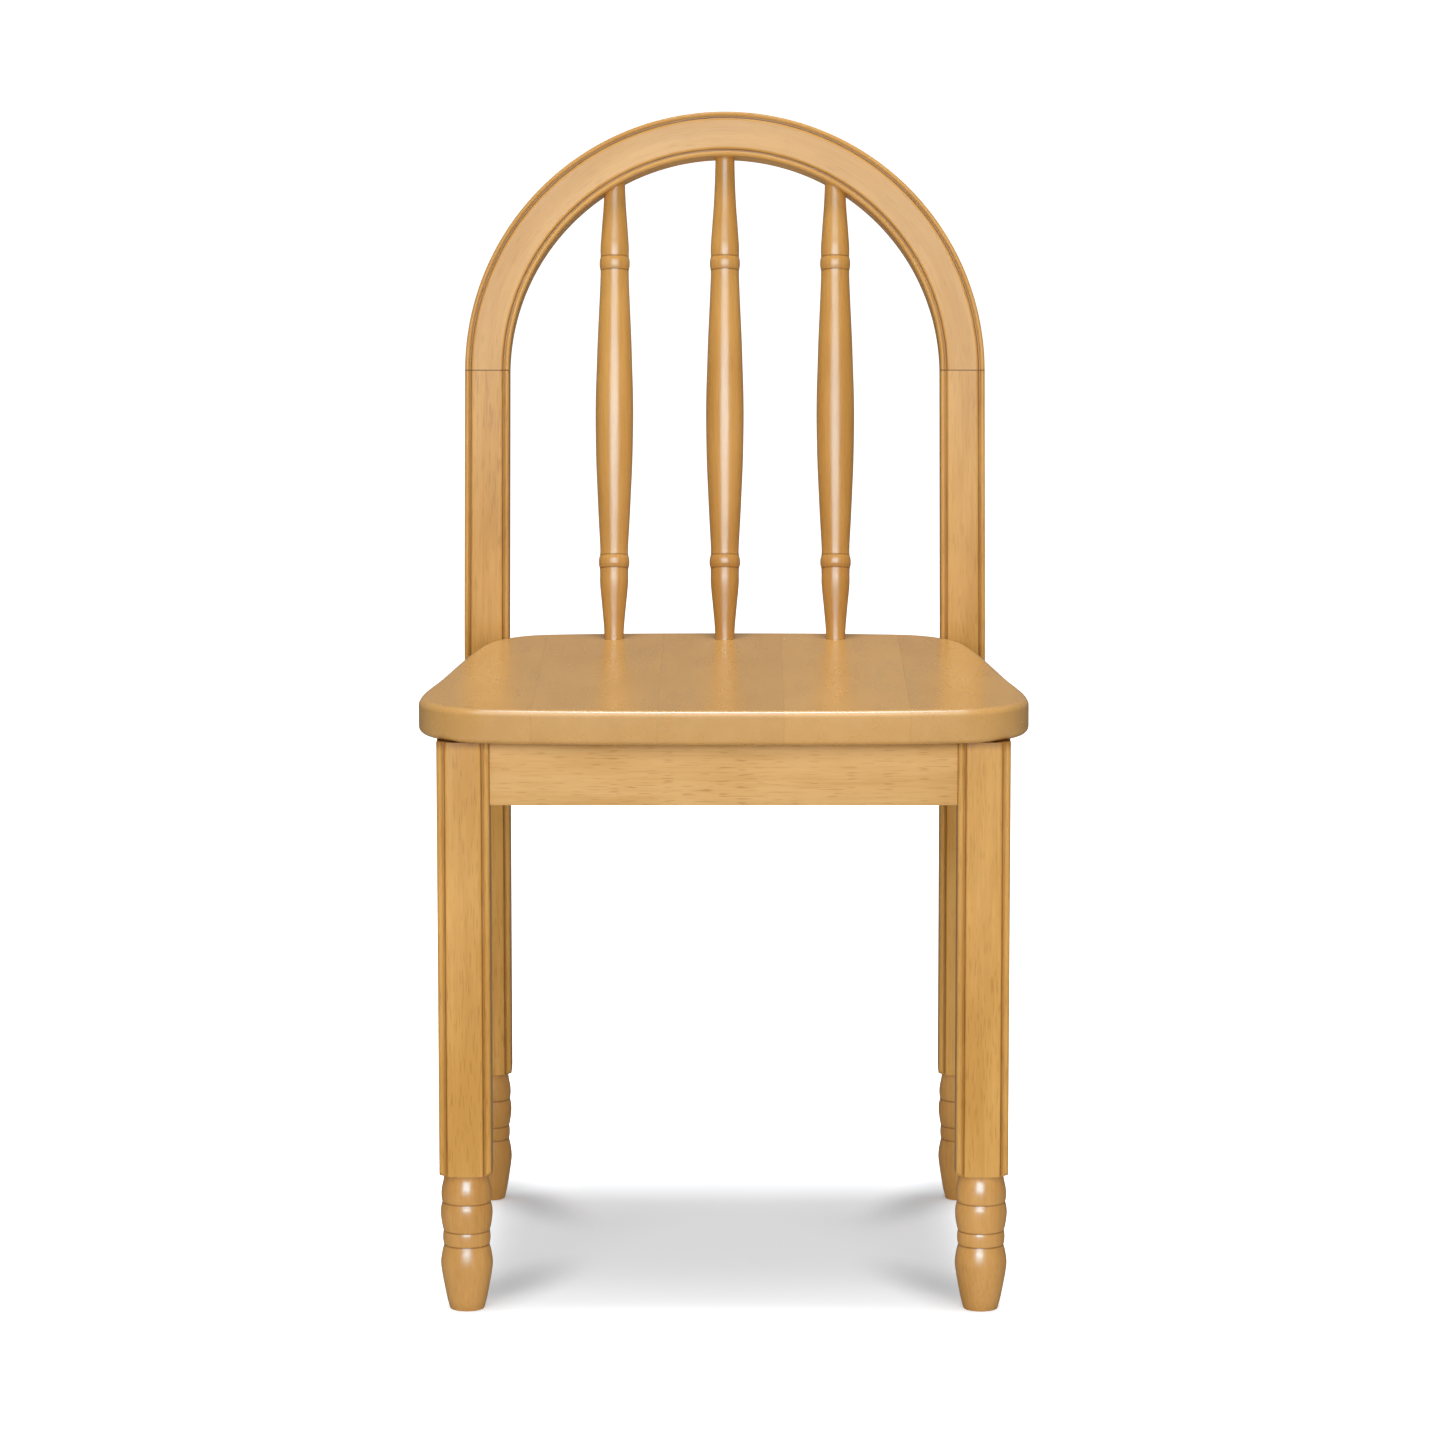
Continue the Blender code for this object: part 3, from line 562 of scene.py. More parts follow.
def spindle_frame(x, chair):
    """The spindle's matrix, with Z up it from the seat's top, and its length up to the bow."""
    plane, _, _ = bow_plane(chair.posts)
    foot = Vector((x, SEAT_HIGH.y - chair.spindles.inset, SEAT_HIGH.z))
    head = plane @ Vector((x, 0, math.sqrt(bow_inner() ** 2 - x**2)))
    return Matrix.Translation(foot) @ along(head - foot), (head - foot).length


def spindle_line(x, chair, clearance):
    """The turned line of a spindle as (radius, height), from its lower tenon to its upper one."""
    _, whole = spindle_frame(0, chair)
    _, length = spindle_frame(x, chair)
    line = [(r * chair.spindles.belly / 2, s * whole) for s, r in joined_runs(SPINDLE_RUNS)]
    end = next((r for r, height in line if height > length), line[-1][0])
    line = [(line[0][0], clearance - chair.spindles.socket)] + [p for p in line if p[1] <= length]
    line.append((end, length + chair.spindles.socket - clearance))
    return [(r - clearance, height) for r, height in line]


def spindle_places(chair):
    """Name and distance from the middle of each spindle."""
    return (("left", -chair.spindles.spacing), ("centre", 0), ("right", chair.spindles.spacing))


def socket_cutters(chair):
    """The three spindles, a hair thicker, as cutters for their sockets."""
    cutters = []
    for name, x in spindle_places(chair):
        matrix, _ = spindle_frame(x, chair)
        cutter = fresh_mesh(turned(spindle_line(x, chair, 0), SPINDLE_SEGMENTS), f"socket_{name}")
        cutter.transform(matrix)
        cutters.append(cutter)
    return cutters


def mark_grain(mesh, grain_of, mask_of, tone):
    """Writes each vertex's place in the grain, starting at the piece's own tone, and its mask of
    stain, painted shade and painted highlight.
    """
    places, masks = [], []
    for vertex in mesh.vertices:
        place = grain_of(vertex.co)
        places += [place.x + tone, place.y + 2 * tone, place.z + 3 * tone]
        masks.append(mask_of(vertex.co, place))
    mesh.attributes.new("grain", "FLOAT_VECTOR", "POINT").data.foreach_set("vector", places)
    mesh.attributes.new("glaze", "FLOAT", "POINT").data.foreach_set("value", masks)


def mark_foot(mesh, sizes):
    """Gives the faces of the turned foot the second of the leg's materials."""
    for face in mesh.polygons:
        face.material_index = int(face.center.z < FOOT_LACQUER_SHARE * sizes.foot_height)


def near(distance, width):
    """One at a line, falling to nought at a distance from it."""
    return max(0.0, 1 - abs(distance) / width)


def new_piece(name, mesh, nodes, slot, *materials):
    """Adds a finished piece in place of its CAD nodes, riding on the chair's one body."""
    piece = placed(name, mesh)
    mesh.materials.clear()
    for material in materials:
        mesh.materials.append(material)
    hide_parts(*nodes)
    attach(piece, "root")
    return piece


# ---- finishes ----


def feed(tree, node, inputs):
    """Links each input to the socket given for it, or sets it to the value given."""
    for name, value in inputs.items():
        if isinstance(value, bpy.types.NodeSocket):
            tree.links.new(value, node.inputs[name])
        else:
            node.inputs[name].default_value = value


def make_node(tree, kind, place, inputs=None, **values):
    """A shader node at a place on the sheet, with its properties and its inputs."""
    node = tree.nodes.new(f"ShaderNode{kind}")
    node.location = (place[0] * SHEET_STEP, place[1] * -SHEET_STEP)
    for name, value in values.items():
        setattr(node, name, value)
    feed(tree, node, inputs or {})
    return node


def stretched_noise(tree, place, vector, cycles, detail=2.0):
    """A noise drawn out along the grain, from its cycles per metre across, in depth and along."""
    scaled = vector_maths(tree, place, "MULTIPLY", vector, cycles)
    inputs = {"Vector": scaled.outputs[0], "Scale": 1.0, "Detail": detail}
    inputs["Roughness"] = NOISE_ROUGHNESS
    return make_node(tree, "TexNoise", (place[0] + 1, place[1]), inputs).outputs["Fac"]


def ranged(tree, place, value, spread, to=(0.0, 1.0)):
    """A value stretched smoothly from one range to another."""
    labels = ("Value", "From Min", "From Max", "To Min", "To Max")
    inputs = dict(zip(labels, (value, *spread, *to)))
    node = make_node(tree, "MapRange", place, inputs, interpolation_type="SMOOTHSTEP")
    return node.outputs["Result"]


def maths(tree, place, operation, *values):
    """One value, or two put together."""
    inputs = dict(enumerate(values))
    return make_node(tree, "Math", place, inputs, operation=operation).outputs[0]


def vector_maths(tree, place, operation, *values):
    """The node of an operation on one vector or two."""
    inputs = dict(enumerate(values))
    return make_node(tree, "VectorMath", place, inputs, operation=operation)


def scaled_colour(tree, place, colour, factor):
    """A colour made lighter or darker."""
    node = vector_maths(tree, place, "SCALE", colour)
    feed(tree, node, {"Scale": factor})
    return node.outputs[0]


def tinted(tree, place, factor, first, second):
    """Two colours mixed by a factor."""
    inputs = {0: factor, 6: first, 7: second}
    return make_node(tree, "Mix", place, inputs, data_type="RGBA").outputs[2]


def new_group(name, inputs, outputs):
    """An empty node group with named sockets, and its input and output nodes."""
    group = bpy.data.node_groups.new(name, "ShaderNodeTree")
    for side, sockets in (("INPUT", inputs), ("OUTPUT", outputs)):
        for label, kind in sockets.items():
            group.interface.new_socket(label, in_out=side, socket_type=f"NodeSocket{kind}")
    return group, group.nodes.new("NodeGroupInput"), group.nodes.new("NodeGroupOutput")


def grain_group():
    """Straight wood grain, drawn out along the board: a slow figure, fine fibres and short pores."""
    group = bpy.data.node_groups.get("Straight grain")
    if group:
        return group
    colours = {"Pale": "Color", "Deep": "Color", "Pore": "Color"}
    inputs = {"Vector": "Vector", **colours, "Pore strength": "Float", "Fibre strength": "Float"}
    group, start, end = new_group("Straight grain", inputs, {"Color": "Color", "Height": "Float"})
    vector = start.outputs["Vector"]
    figure = stretched_noise(group, (1, 0), vector, FIGURE_CYCLES, 3.0)
    cloud = stretched_noise(group, (1, 1), vector, CLOUD_CYCLES)
    fibre = stretched_noise(group, (1, 2), vector, FIBRE_CYCLES)
    dashes = stretched_noise(group, (1, 3), vector, PORE_CYCLES, 0.0)
    blend = maths(group, (3, 0), "ADD", figure, cloud)
    threads = maths(group, (3, 2), "SUBTRACT", fibre, 0.5)
    threads = maths(group, (4, 2), "MULTIPLY", threads, start.outputs["Fibre strength"])
    blend = maths(group, (4, 0), "ADD", blend, threads)
    blend = ranged(group, (5, 0), blend, FIGURE_RANGE)
    wood = tinted(group, (6, 0), blend, start.outputs["Pale"], start.outputs["Deep"])
    pores = ranged(group, (3, 3), dashes, PORE_RANGE)
    crowd = ranged(group, (3, 1), cloud, CROWD_RANGE, CROWD_STRENGTHS)
    pores = maths(group, (4, 3), "MULTIPLY", pores, crowd)
    strength = maths(group, (5, 3), "MULTIPLY", pores, start.outputs["Pore strength"])
    wood = tinted(group, (7, 0), strength, wood, start.outputs["Pore"])
    feed(group, end, {"Color": wood, "Height": fibre})
    return group


def board_group():
    """Boards glued side by side: each has a tone of its own, and a thin line shows at each seam."""
    group = bpy.data.node_groups.get("Glued boards")
    if group:
        return group
    outputs = {"Tone": "Float", "Seam": "Float", "Vector": "Vector"}
    inputs = {"Vector": "Vector", "Board width": "Float"}
    group, start, end = new_group("Glued boards", inputs, outputs)
    vector = start.outputs["Vector"]
    parts = make_node(group, "SeparateXYZ", (1, 0), {0: vector})
    boards = maths(group, (2, 0), "DIVIDE", parts.outputs["X"], start.outputs["Board width"])
    number = maths(group, (3, 0), "FLOOR", boards)
    dice = make_node(group, "TexWhiteNoise", (4, 0), {"W": number}, noise_dimensions="1D")
    place = maths(group, (3, 1), "FRACT", boards)
    apart = maths(group, (5, 1), "ABSOLUTE", maths(group, (4, 1), "SUBTRACT", place, 0.5))
    seam = ranged(group, (6, 1), apart, SEAM_RANGE)
    shifted = vector_maths(group, (5, 2), "ADD", vector, dice.outputs["Color"]).outputs[0]
    feed(group, end, {"Tone": dice.outputs["Value"], "Seam": seam, "Vector": shifted})
    return group


def stain_shade_and_highlight_group():
    """Stain in grooves and painted shade in corners, darker the higher the mask, and a painted
    highlight where the mask is below nought.
    """
    group = bpy.data.node_groups.get("Gathered glaze")
    if group:
        return group
    colours = {"Color": "Color", "Glaze": "Color", "Rubbed": "Color"}
    inputs = {**colours, "Mask": "Float", "Vector": "Vector"}
    group, start, end = new_group("Gathered glaze", inputs, {"Color": "Color"})
    patchy = stretched_noise(group, (1, 1), start.outputs["Vector"], PATCH_CYCLES)
    patchy = ranged(group, (3, 1), patchy, NOISE_RANGE, PATCHY_STRENGTHS)
    mask = ranged(group, (3, 0), start.outputs["Mask"], (0.0, 1.0))
    mask = maths(group, (4, 0), "MULTIPLY", mask, patchy)
    mask = maths(group, (5, 0), "MULTIPLY", mask, STAIN_AND_SHADE_STRENGTH)
    mixed = tinted(group, (6, 0), mask, start.outputs["Color"], start.outputs["Glaze"])
    # Below nought the mask paints a highlight along the arrises, also standing for worn stain
    lit_and_rubbed = ranged(group, (3, 2), start.outputs["Mask"], (0.0, -1.0))
    lit_and_rubbed = maths(group, (4, 2), "MULTIPLY", lit_and_rubbed, patchy)
    lit_and_rubbed = maths(group, (5, 2), "MULTIPLY", lit_and_rubbed, ARRIS_HIGHLIGHT_STRENGTH)
    feed(group, end, {"Color": tinted(group, (7, 0), lit_and_rubbed, mixed, start.outputs["Rubbed"])})
    return group


def rgba(values, factor=1.0):
    """A colour with its alpha, lightened or darkened by a factor."""
    return (*(min(1.0, value * factor) for value in values), 1.0)


def new_material(name):
    """A new material, its node tree and its shader."""
    material = bpy.data.materials.new(name)
    material.use_nodes = True
    return material, material.node_tree, material.node_tree.nodes["Principled BSDF"]


def relief(tree, place, height, strength):
    """The normal of a surface with the height of its fibres."""
    inputs = {"Height": height, "Strength": strength, "Distance": RELIEF_DEPTH}
    return make_node(tree, "Bump", place, inputs).outputs["Normal"]


def grained(tree, place, vector, colours, look):
    """Straight grain in three colours, with the pores and fibres of a look."""
    strengths = {"Pore strength": look["pores"], "Fibre strength": look["fibre"]}
    wood = make_node(tree, "Group", place, node_tree=grain_group())
    feed(tree, wood, {"Vector": vector, **colours, **strengths})
    return wood.outputs


def lacquered(name, finish, board_width=None):
    """Clear-lacquered wood: grain from the piece's own attribute, tone, seams, and stain with
    painted shade and painted highlights.
    """
    material = bpy.data.materials.get(name)
    if material:
        return material
    look = {**PLAIN_LACQUER, **LACQUERS[name]}
    material, tree, shader = new_material(name)
    shader.location = (1800, 0)
    vector = make_node(tree, "Attribute", (0, 0), attribute_name="grain").outputs["Vector"]
    mask = make_node(tree, "Attribute", (0, 2), attribute_name="glaze").outputs["Fac"]
    deep = [early + (late - early) * look["figure"] for early, late in zip(finish.pale, finish.deep)]
    colours = {"Pale": finish.pale, "Deep": deep, "Pore": finish.pore}
    for label, colour in colours.items():
        colours[label] = rgba([a * b for a, b in zip(colour, look["tint"])])
    if board_width:
        boards = make_node(tree, "Group", (1, 0), node_tree=board_group())
        feed(tree, boards, {"Board width": board_width, "Vector": vector})
        vector = boards.outputs["Vector"]
    wood = grained(tree, (3, 0), vector, colours, look)
    result = wood["Color"]
    if board_width:
        tone = ranged(tree, (4, 1), boards.outputs["Tone"], (0.0, 1.0), BOARD_TONES)
        toned = scaled_colour(tree, (5, 0), result, tone)
        dark = scaled_colour(tree, (6, 1), toned, SEAM_SHADE)
        seam = maths(tree, (4, 2), "MULTIPLY", boards.outputs["Seam"], SEAM_STRENGTH)
        result = tinted(tree, (7, 0), seam, toned, dark)
    marked_wood = make_node(tree, "Group", (8, 0), node_tree=stain_shade_and_highlight_group())
    mark_colours = {"Glaze": rgba(finish.glaze), "Rubbed": rgba(finish.lit_and_rubbed)}
    feed(tree, marked_wood, {"Color": result, "Mask": mask, "Vector": vector, **mark_colours})
    rough = stretched_noise(tree, (5, 3), vector, SHINE_CYCLES, 3.0)
    middle = getattr(finish, f"{look['kind']}_roughness")
    rough = ranged(tree, (7, 3), rough, NOISE_RANGE, [middle + step for step in SHINE_SPREAD])
    inputs = {
        "Base Color": marked_wood.outputs["Color"],
        "Roughness": rough,
        "Normal": relief(tree, (8, 2), wood["Height"], look["bump"]),
        "Specular IOR Level": getattr(finish, f"{look['kind']}_sheen"),
        "IOR": LACQUER_IOR,
        "Specular Tint": rgba(finish.sheen_colour),
    }
    feed(tree, shader, inputs)
    return material


def leg_woods(finish):
    """The materials of a leg's square part and of its turned foot."""
    return lacquered("Leg lacquer", finish), lacquered("Foot lacquer", finish)


def bare_wood(name, finish):
    """Unlacquered wood of hidden blocks and dowels, its grain on Object coordinates."""
    material, tree, shader = new_material(name)
    shader.location = (1400, 0)
    place = make_node(tree, "TexCoord", (0, 0)).outputs["Object"]
    inputs = {"Vector": place, "Rotation": (0, math.pi / 2, 0)}
    lengthwise = make_node(tree, "Mapping", (1, 0), inputs).outputs[0]
    shades = {label: rgba(finish.inner, factor) for label, factor in BARE_SHADES.items()}
    wood = grained(tree, (3, 0), lengthwise, shades, PLAIN_LACQUER)
    normal = relief(tree, (5, 2), wood["Height"], BARE_RELIEF)
    feed(tree, shader, {"Base Color": wood["Color"], "Normal": normal, "Roughness": BARE_ROUGHNESS})
    return material


def plated_steel(name):
    """Zinc-plated screw steel with faint brushing round the head."""
    material, tree, shader = new_material(name)
    place = make_node(tree, "TexCoord", (0, 0)).outputs["Object"]
    inputs = {"Vector": place, "Scale": BRUSHING_CYCLES, "Detail": 3.0}
    noise = make_node(tree, "TexNoise", (1, 0), inputs).outputs["Fac"]
    rough = ranged(tree, (2, 0), noise, NOISE_RANGE, STEEL_ROUGHNESS)
    feed(tree, shader, {"Roughness": rough, "Base Color": rgba(STEEL_COLOUR), "Metallic": 1.0})
    return material


# ---- stains ----


def seat_edge_darkening(rim):
    """Darkens the seat board's edge faces a little, and its lower rim more as painted shade."""

    def mask_at(co, place):
        if co.z > SEAT_HIGH.z - UNDARKENED_RIM_SHARE * rim:
            return 0.0
        return max(BOARD_EDGE_DARKENING, RIM_SHADE_STRENGTH * near(co.z - SEAT_LOW.z, rim))

    return mask_at


def moulding_stain_and_shade(half, bead, sizes):
    """Mask over the moulded front: stain and painted shade in the grooves, a little on the beads,
    and a painted highlight at the arrises.
    """
    groove = half - bead - sizes.quirk_width / 2
    # Place of the painted highlight along the arris
    lit_and_rubbed = half - bead - sizes.quirk_width - sizes.arris_round / 2
    front = bead - sizes.post_depth / 2

    def mask_at(place):
        if place.y > front:
            return 0.0
        across = abs(place.x)
        stain = max(near(across - groove, GROOVE_LINE), BEAD_STRENGTH * (across > groove))
        return stain - near(across - lit_and_rubbed, ARRIS_HIGHLIGHT_LINE)

    return mask_at


def foot_stain_and_shade(moulding, sizes):
    """Mask of a leg or post: its moulding's above the foot, and dark lines of stain and painted
    shade round the foot.
    """
    lines = [run[-1][1] * sizes.foot_height for run in FOOT_RUNS[1:-2]]

    def mask_at(co, place):
        if co.z > FOOT_LINES_SHARE * sizes.foot_height:
            return moulding(place)
        return max(near(co.z - line, FOOT_LINE) for line in lines)

    return mask_at


def painted_corner_shade(bm, other, height):
    """Cuts the faces below a height, and adds painted shade in the corner under it to another mask.
    """
    bmesh.ops.bisect_plane(
        bm,
        geom=bm.verts[:] + bm.edges[:] + bm.faces[:],
        plane_co=(0, 0, height - CORNER_SHADE_REACH),
        plane_no=(0, 0, 1),
    )
    return lambda co, place: max(
        other(co, place), CORNER_SHADE_STRENGTH * near(co.z - height, CORNER_SHADE_REACH)
    )


def joint_glaze(other, sizes):
    """Adds the dark line at the joint between the posts and the bow to another mask."""
    back = bow_plane(sizes)[0].inverted()
    return lambda co, place: max(other(co, place), near((back @ co).z, JOINT_LINE))
# ---- operators ----


def seat_half_outline(width, depth):
    """Right half of the outline in (x, y), from Bezier curves between the knots.

    A curve that turns by t over a chord c is nearest a circular arc with handles of
    2/3 c tan(t/4) / sin(t/2).
    """
    knots = []
    for x_share, y_share, heading in SEAT_OUTLINE_SHARES:
        point = Vector((x_share * width / 2, SEAT_LOW.y + y_share * depth, 0))
        knots.append((point, math.radians(heading)))
    line = []
    for (start, turn_in), (end, turn_out), steps in zip(knots, knots[1:], SEAT_OUTLINE_STEPS):
        turn = turn_out - turn_in
        reach = (end - start).length * (2 / 3) * math.tan(turn / 4) / math.sin(turn / 2)
        out_handle = start + reach * Vector((math.cos(turn_in), math.sin(turn_in), 0))
        in_handle = end - reach * Vector((math.cos(turn_out), math.sin(turn_out), 0))
        line += interpolate_bezier(start, out_handle, in_handle, end, steps + 1)[:-1]
    line.append(knots[-1][0])
    return [(p.x, p.y) for p in line]


def post_notches():
    """Cutters for the notches round the back posts."""
    made = []
    inner = -POST_HIGH.x - GAP
    depth = SEAT_HIGH.y - SEAT_LOW.y
    width = POST_HIGH.x - POST_LOW.x
    for side in SIDES.values():
        centre = (side * (inner + width / 2), POST_LOW.y - GAP + depth / 2, SEAT_LOW.z)
        made.append(fresh_mesh(square_block(centre, (width, depth, width * 2)), "post_notch"))
    return made


class BuildSeat(bpy.types.Operator):
    """Build the seat board, with its notches and spindle sockets"""

    bl_idname = "spindle_chair.build_seat"
    bl_label = "Build Seat"

    def execute(self, context):
        chair = settings()
        width, depth = SEAT_HIGH.x - SEAT_LOW.x, SEAT_HIGH.y - SEAT_LOW.y
        bm = bmesh.new()
        right = seat_half_outline(width, depth)
        outline = right + [(-x, y) for x, y in reversed(right[1:-1])]
        face = bm.faces.new([bm.verts.new((x, y, SEAT_LOW.z)) for x, y in outline])
        raise_face(bm, face, (0, 0, SEAT_HIGH.z - SEAT_LOW.z))
        rims = [e for e in bm.edges if abs(e.verts[0].co.z - e.verts[1].co.z) < MERGE]
        ease(bm, rims, chair.seat.edge_round, RIM_STEPS)
        plates = [f for f in bm.faces if len(f.verts) > 4]
        bmesh.ops.inset_individual(bm, faces=plates, thickness=SUPPORT, depth=0)
        cutters = [*post_notches(), *socket_cutters(chair)]
        mesh = carved("seat_board", fresh_mesh(bm, "seat_board"), cutters)
        # Painted shade round the board's lower rim, and its edge faces a little darker
        glaze = seat_edge_darkening(chair.seat.edge_round)
        mark_grain(mesh, lambda co: Vector((co.x, co.z, co.y - SEAT_LOW.y)), glaze, SEAT_GRAIN)
        material = lacquered("Board lacquer", chair.wood, chair.seat.board_width)
        new_piece("seat_board", mesh, ["seat"], "seat_wood", material)
        return {"FINISHED"}


class BuildFrontLegs(bpy.types.Operator):
    """Build the two front legs, with beaded front edges and turned feet"""

    bl_idname = "spindle_chair.build_front_legs"
    bl_label = "Build Front Legs"

    def execute(self, context):
        chair = settings()
        sizes = chair.posts
        width = LEG_HIGH.x - LEG_LOW.x
        for side, sign in SIDES.items():
            low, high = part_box(f"front_leg_{side}")
            shift = Vector(((low.x + high.x) / 2, (low.y + high.y) / 2, 0))
            matrix = Matrix.Translation(shift)
            bm = moulded_section(width, width, sizes.leg_bead, sizes)
            raise_face(bm, bm.faces[:][0], (0, 0, high.z))
            bm.transform(matrix)
            glaze = foot_stain_and_shade(moulding_stain_and_shade(width / 2, sizes.leg_bead, sizes), sizes)
            # Painted shade at the leg's top, under the seat
            glaze = painted_corner_shade(bm, glaze, high.z)
            cutter = foot_waste(width / 2, sizes, matrix)
            mesh = carved("front_leg", fresh_mesh(bm, "front_leg"), [cutter])
            mark_grain(mesh, lambda co: co - shift, glaze, LEG_GRAIN + LEG_GRAIN_STEP * sign)
            woods = leg_woods(chair.wood)
            new_piece(f"turned_leg_{side}", mesh, [f"front_leg_{side}"], "leg_wood", *woods)
            mark_foot(mesh, sizes)
        return {"FINISHED"}


def post_grain(matrix, start, sizes):
    """The place in the board, which leans back with the rake above the bend."""
    back = matrix.inverted()

    def place_of(co):
        local = back @ co
        above = max(0.0, local.z - start - sizes.bend_radius * math.sin(sizes.rake) / 2)
        return Vector((local.x, local.y - above * math.tan(sizes.rake), local.z))

    return place_of


class BuildBackPosts(bpy.types.Operator):
    """Build the two back posts: turned foot, beaded leg, bend at the seat and raked stile"""

    bl_idname = "spindle_chair.build_back_posts"
    bl_label = "Build Back Posts"

    def execute(self, context):
        chair = settings()
        sizes = chair.posts
        width = POST_HIGH.x - POST_LOW.x
        _, start, raked = bow_plane(sizes)
        rise = raked - GAP
        for side, sign in SIDES.items():
            low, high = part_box(f"back_post_{side}")
            matrix = Matrix.Translation(((low.x + high.x) / 2, low.y + sizes.post_depth / 2, 0))
            bm = moulded_section(width, sizes.post_depth, sizes.post_bead, sizes)
            end = raise_face(bm, bm.faces[:][0], (0, 0, start))
            centre = (0, sizes.bend_radius, start)
            end = swing_faces(bm, [end], centre, (1, 0, 0), -sizes.rake, BEND_STEPS)[0]
            up = Vector((0, math.sin(sizes.rake), math.cos(sizes.rake)))
            end = raise_face(bm, end, up * (rise - JOINT_LINE))
            raise_face(bm, end, up * JOINT_LINE)
            drop_inner_faces(bm)
            bm.transform(matrix)
            cutter = foot_waste(sizes.post_depth / 2, sizes, matrix)
            mesh = carved("back_post", fresh_mesh(bm, "back_post"), [cutter])
            glaze = foot_stain_and_shade(moulding_stain_and_shade(width / 2, sizes.post_bead, sizes), sizes)
            glaze = joint_glaze(glaze, sizes)
            tone = POST_GRAIN + POST_GRAIN_STEP * sign
            mark_grain(mesh, post_grain(matrix, start, sizes), glaze, tone)
            woods = leg_woods(chair.wood)
            new_piece(f"bent_post_{side}", mesh, [f"back_post_{side}"], "leg_wood", *woods)
            mark_foot(mesh, sizes)
        return {"FINISHED"}


class BuildBow(bpy.types.Operator):
    """Build the back bow: the posts' moulded section carried round a half circle"""

    bl_idname = "spindle_chair.build_bow"
    bl_label = "Build Bow"

    def execute(self, context):
        chair = settings()
        sizes = chair.posts
        width = POST_HIGH.x - POST_LOW.x
        middle = (BOW_HIGH.x - BOW_LOW.x - width) / 2
        plane, _, _ = bow_plane(sizes)
        bm = moulded_section(width, sizes.post_depth, sizes.post_bead, sizes)
        bm.transform(Matrix.Translation((middle, 0, 0)))
        end = bm.faces[:]
        edge_turn = JOINT_LINE / middle
        for turn, steps in ((edge_turn, 1), (math.pi - 2 * edge_turn, BOW_STEPS), (edge_turn, 1)):
            end = swing_faces(bm, end, (0, 0, 0), (0, -1, 0), turn, steps)
        drop_inner_faces(bm)
        bm.transform(plane)
        mesh = carved("bow", fresh_mesh(bm, "bow"), socket_cutters(chair))
        back = plane.inverted()
        moulding = moulding_stain_and_shade(width / 2, sizes.post_bead, sizes)

        def place_of(co):
            local = back @ co
            reach = math.hypot(local.x, local.z)
            turn = math.pi / 2 + math.atan2(-local.x, local.z)
            return Vector((reach - middle, local.y, turn * middle))

        glaze = joint_glaze(lambda co, place: moulding(place), sizes)
        mark_grain(mesh, place_of, glaze, BOW_GRAIN)
        new_piece("bent_bow", mesh, ["back_bow"], "bow_wood", lacquered("Bow lacquer", chair.wood))
        return {"FINISHED"}


class BuildSpindles(bpy.types.Operator):
    """Build the three turned spindles"""

    bl_idname = "spindle_chair.build_spindles"
    bl_label = "Build Spindles"

    def execute(self, context):
        chair = settings()
        _, whole = spindle_frame(0, chair)
        lines = [run[-1][0] * whole for run in SPINDLE_RUNS[:-1]]
        material = lacquered("Spindle lacquer", chair.wood)
        for number, (name, x) in enumerate(spindle_places(chair)):
            matrix, _ = spindle_frame(x, chair)
            line = spindle_line(x, chair, GAP / 2)
            mesh = fresh_mesh(turned(line, SPINDLE_SEGMENTS), f"turned_spindle_{name}")
            mesh.transform(matrix)
            back = matrix.inverted()
            # Dark lines round the spindle's grooves: stain and painted shade
            mark_grain(
                mesh,
                lambda co: back @ co,
                lambda co, place: max(near(place.z - height, SPINDLE_LINE) for height in lines),
                SPINDLE_GRAIN + SPINDLE_GRAIN_STEP * number,
            )
            new_piece(f"turned_spindle_{name}", mesh, [f"spindle_{name}"], "spindle_wood", material)
        return {"FINISHED"}


class BuildAprons(bpy.types.Operator):
    """Build the four aprons under the seat"""

    bl_idname = "spindle_chair.build_aprons"
    bl_label = "Build Aprons"

    def execute(self, context):
        chair = settings()
        material = lacquered("Apron lacquer", chair.wood)
        for number, name in enumerate(("front_apron", "left_apron", "right_apron", "back_apron")):
            low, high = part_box(name)
            centre, extent = (low + high) / 2, high - low
            bm = square_block(centre, extent)
            long_axis = 0 if extent.x > extent.y else 1
            across = 1 - long_axis
            lower = [
                e
                for e in bm.edges
                if all(v.co.z < centre.z for v in e.verts)
                and abs(e.verts[0].co[long_axis] - e.verts[1].co[long_axis]) > MERGE
            ]
            ease(bm, lower, chair.seat.side_round, APRON_STEPS)
            # Painted shade along the apron's top, under the seat
            glaze = painted_corner_shade(bm, lambda co, place: 0.0, high.z)
            mesh = carved(name, fresh_mesh(bm, name), [], level_faces=True)
            mark_grain(
                mesh,
                lambda co: Vector((co.z - centre.z, co[across] - centre[across], co[long_axis])),
                glaze,
                APRON_GRAIN + APRON_GRAIN_STEP * number,
            )
            new_piece(f"{name}_board", mesh, [name], "apron_wood", material)
        return {"FINISHED"}


class FinishBlocks(bpy.types.Operator):
    """Give the corner blocks, dowels and screws under the seat their finishes"""

    bl_idname = "spindle_chair.finish_blocks"
    bl_label = "Finish Blocks and Screws"

    def execute(self, context):
        wood = settings().wood
        finishes = {
            "corner_block": bare_wood("Block wood", wood),
            "dowel": bare_wood("Dowel wood", wood),
            "screw": plated_steel("Screw steel"),
        }
        for name, node in NODES.items():
            for kind, finish in finishes.items():
                if kind in name:
                    node.data.materials.clear()
                    node.data.materials.append(finish)
        return {"FINISHED"}


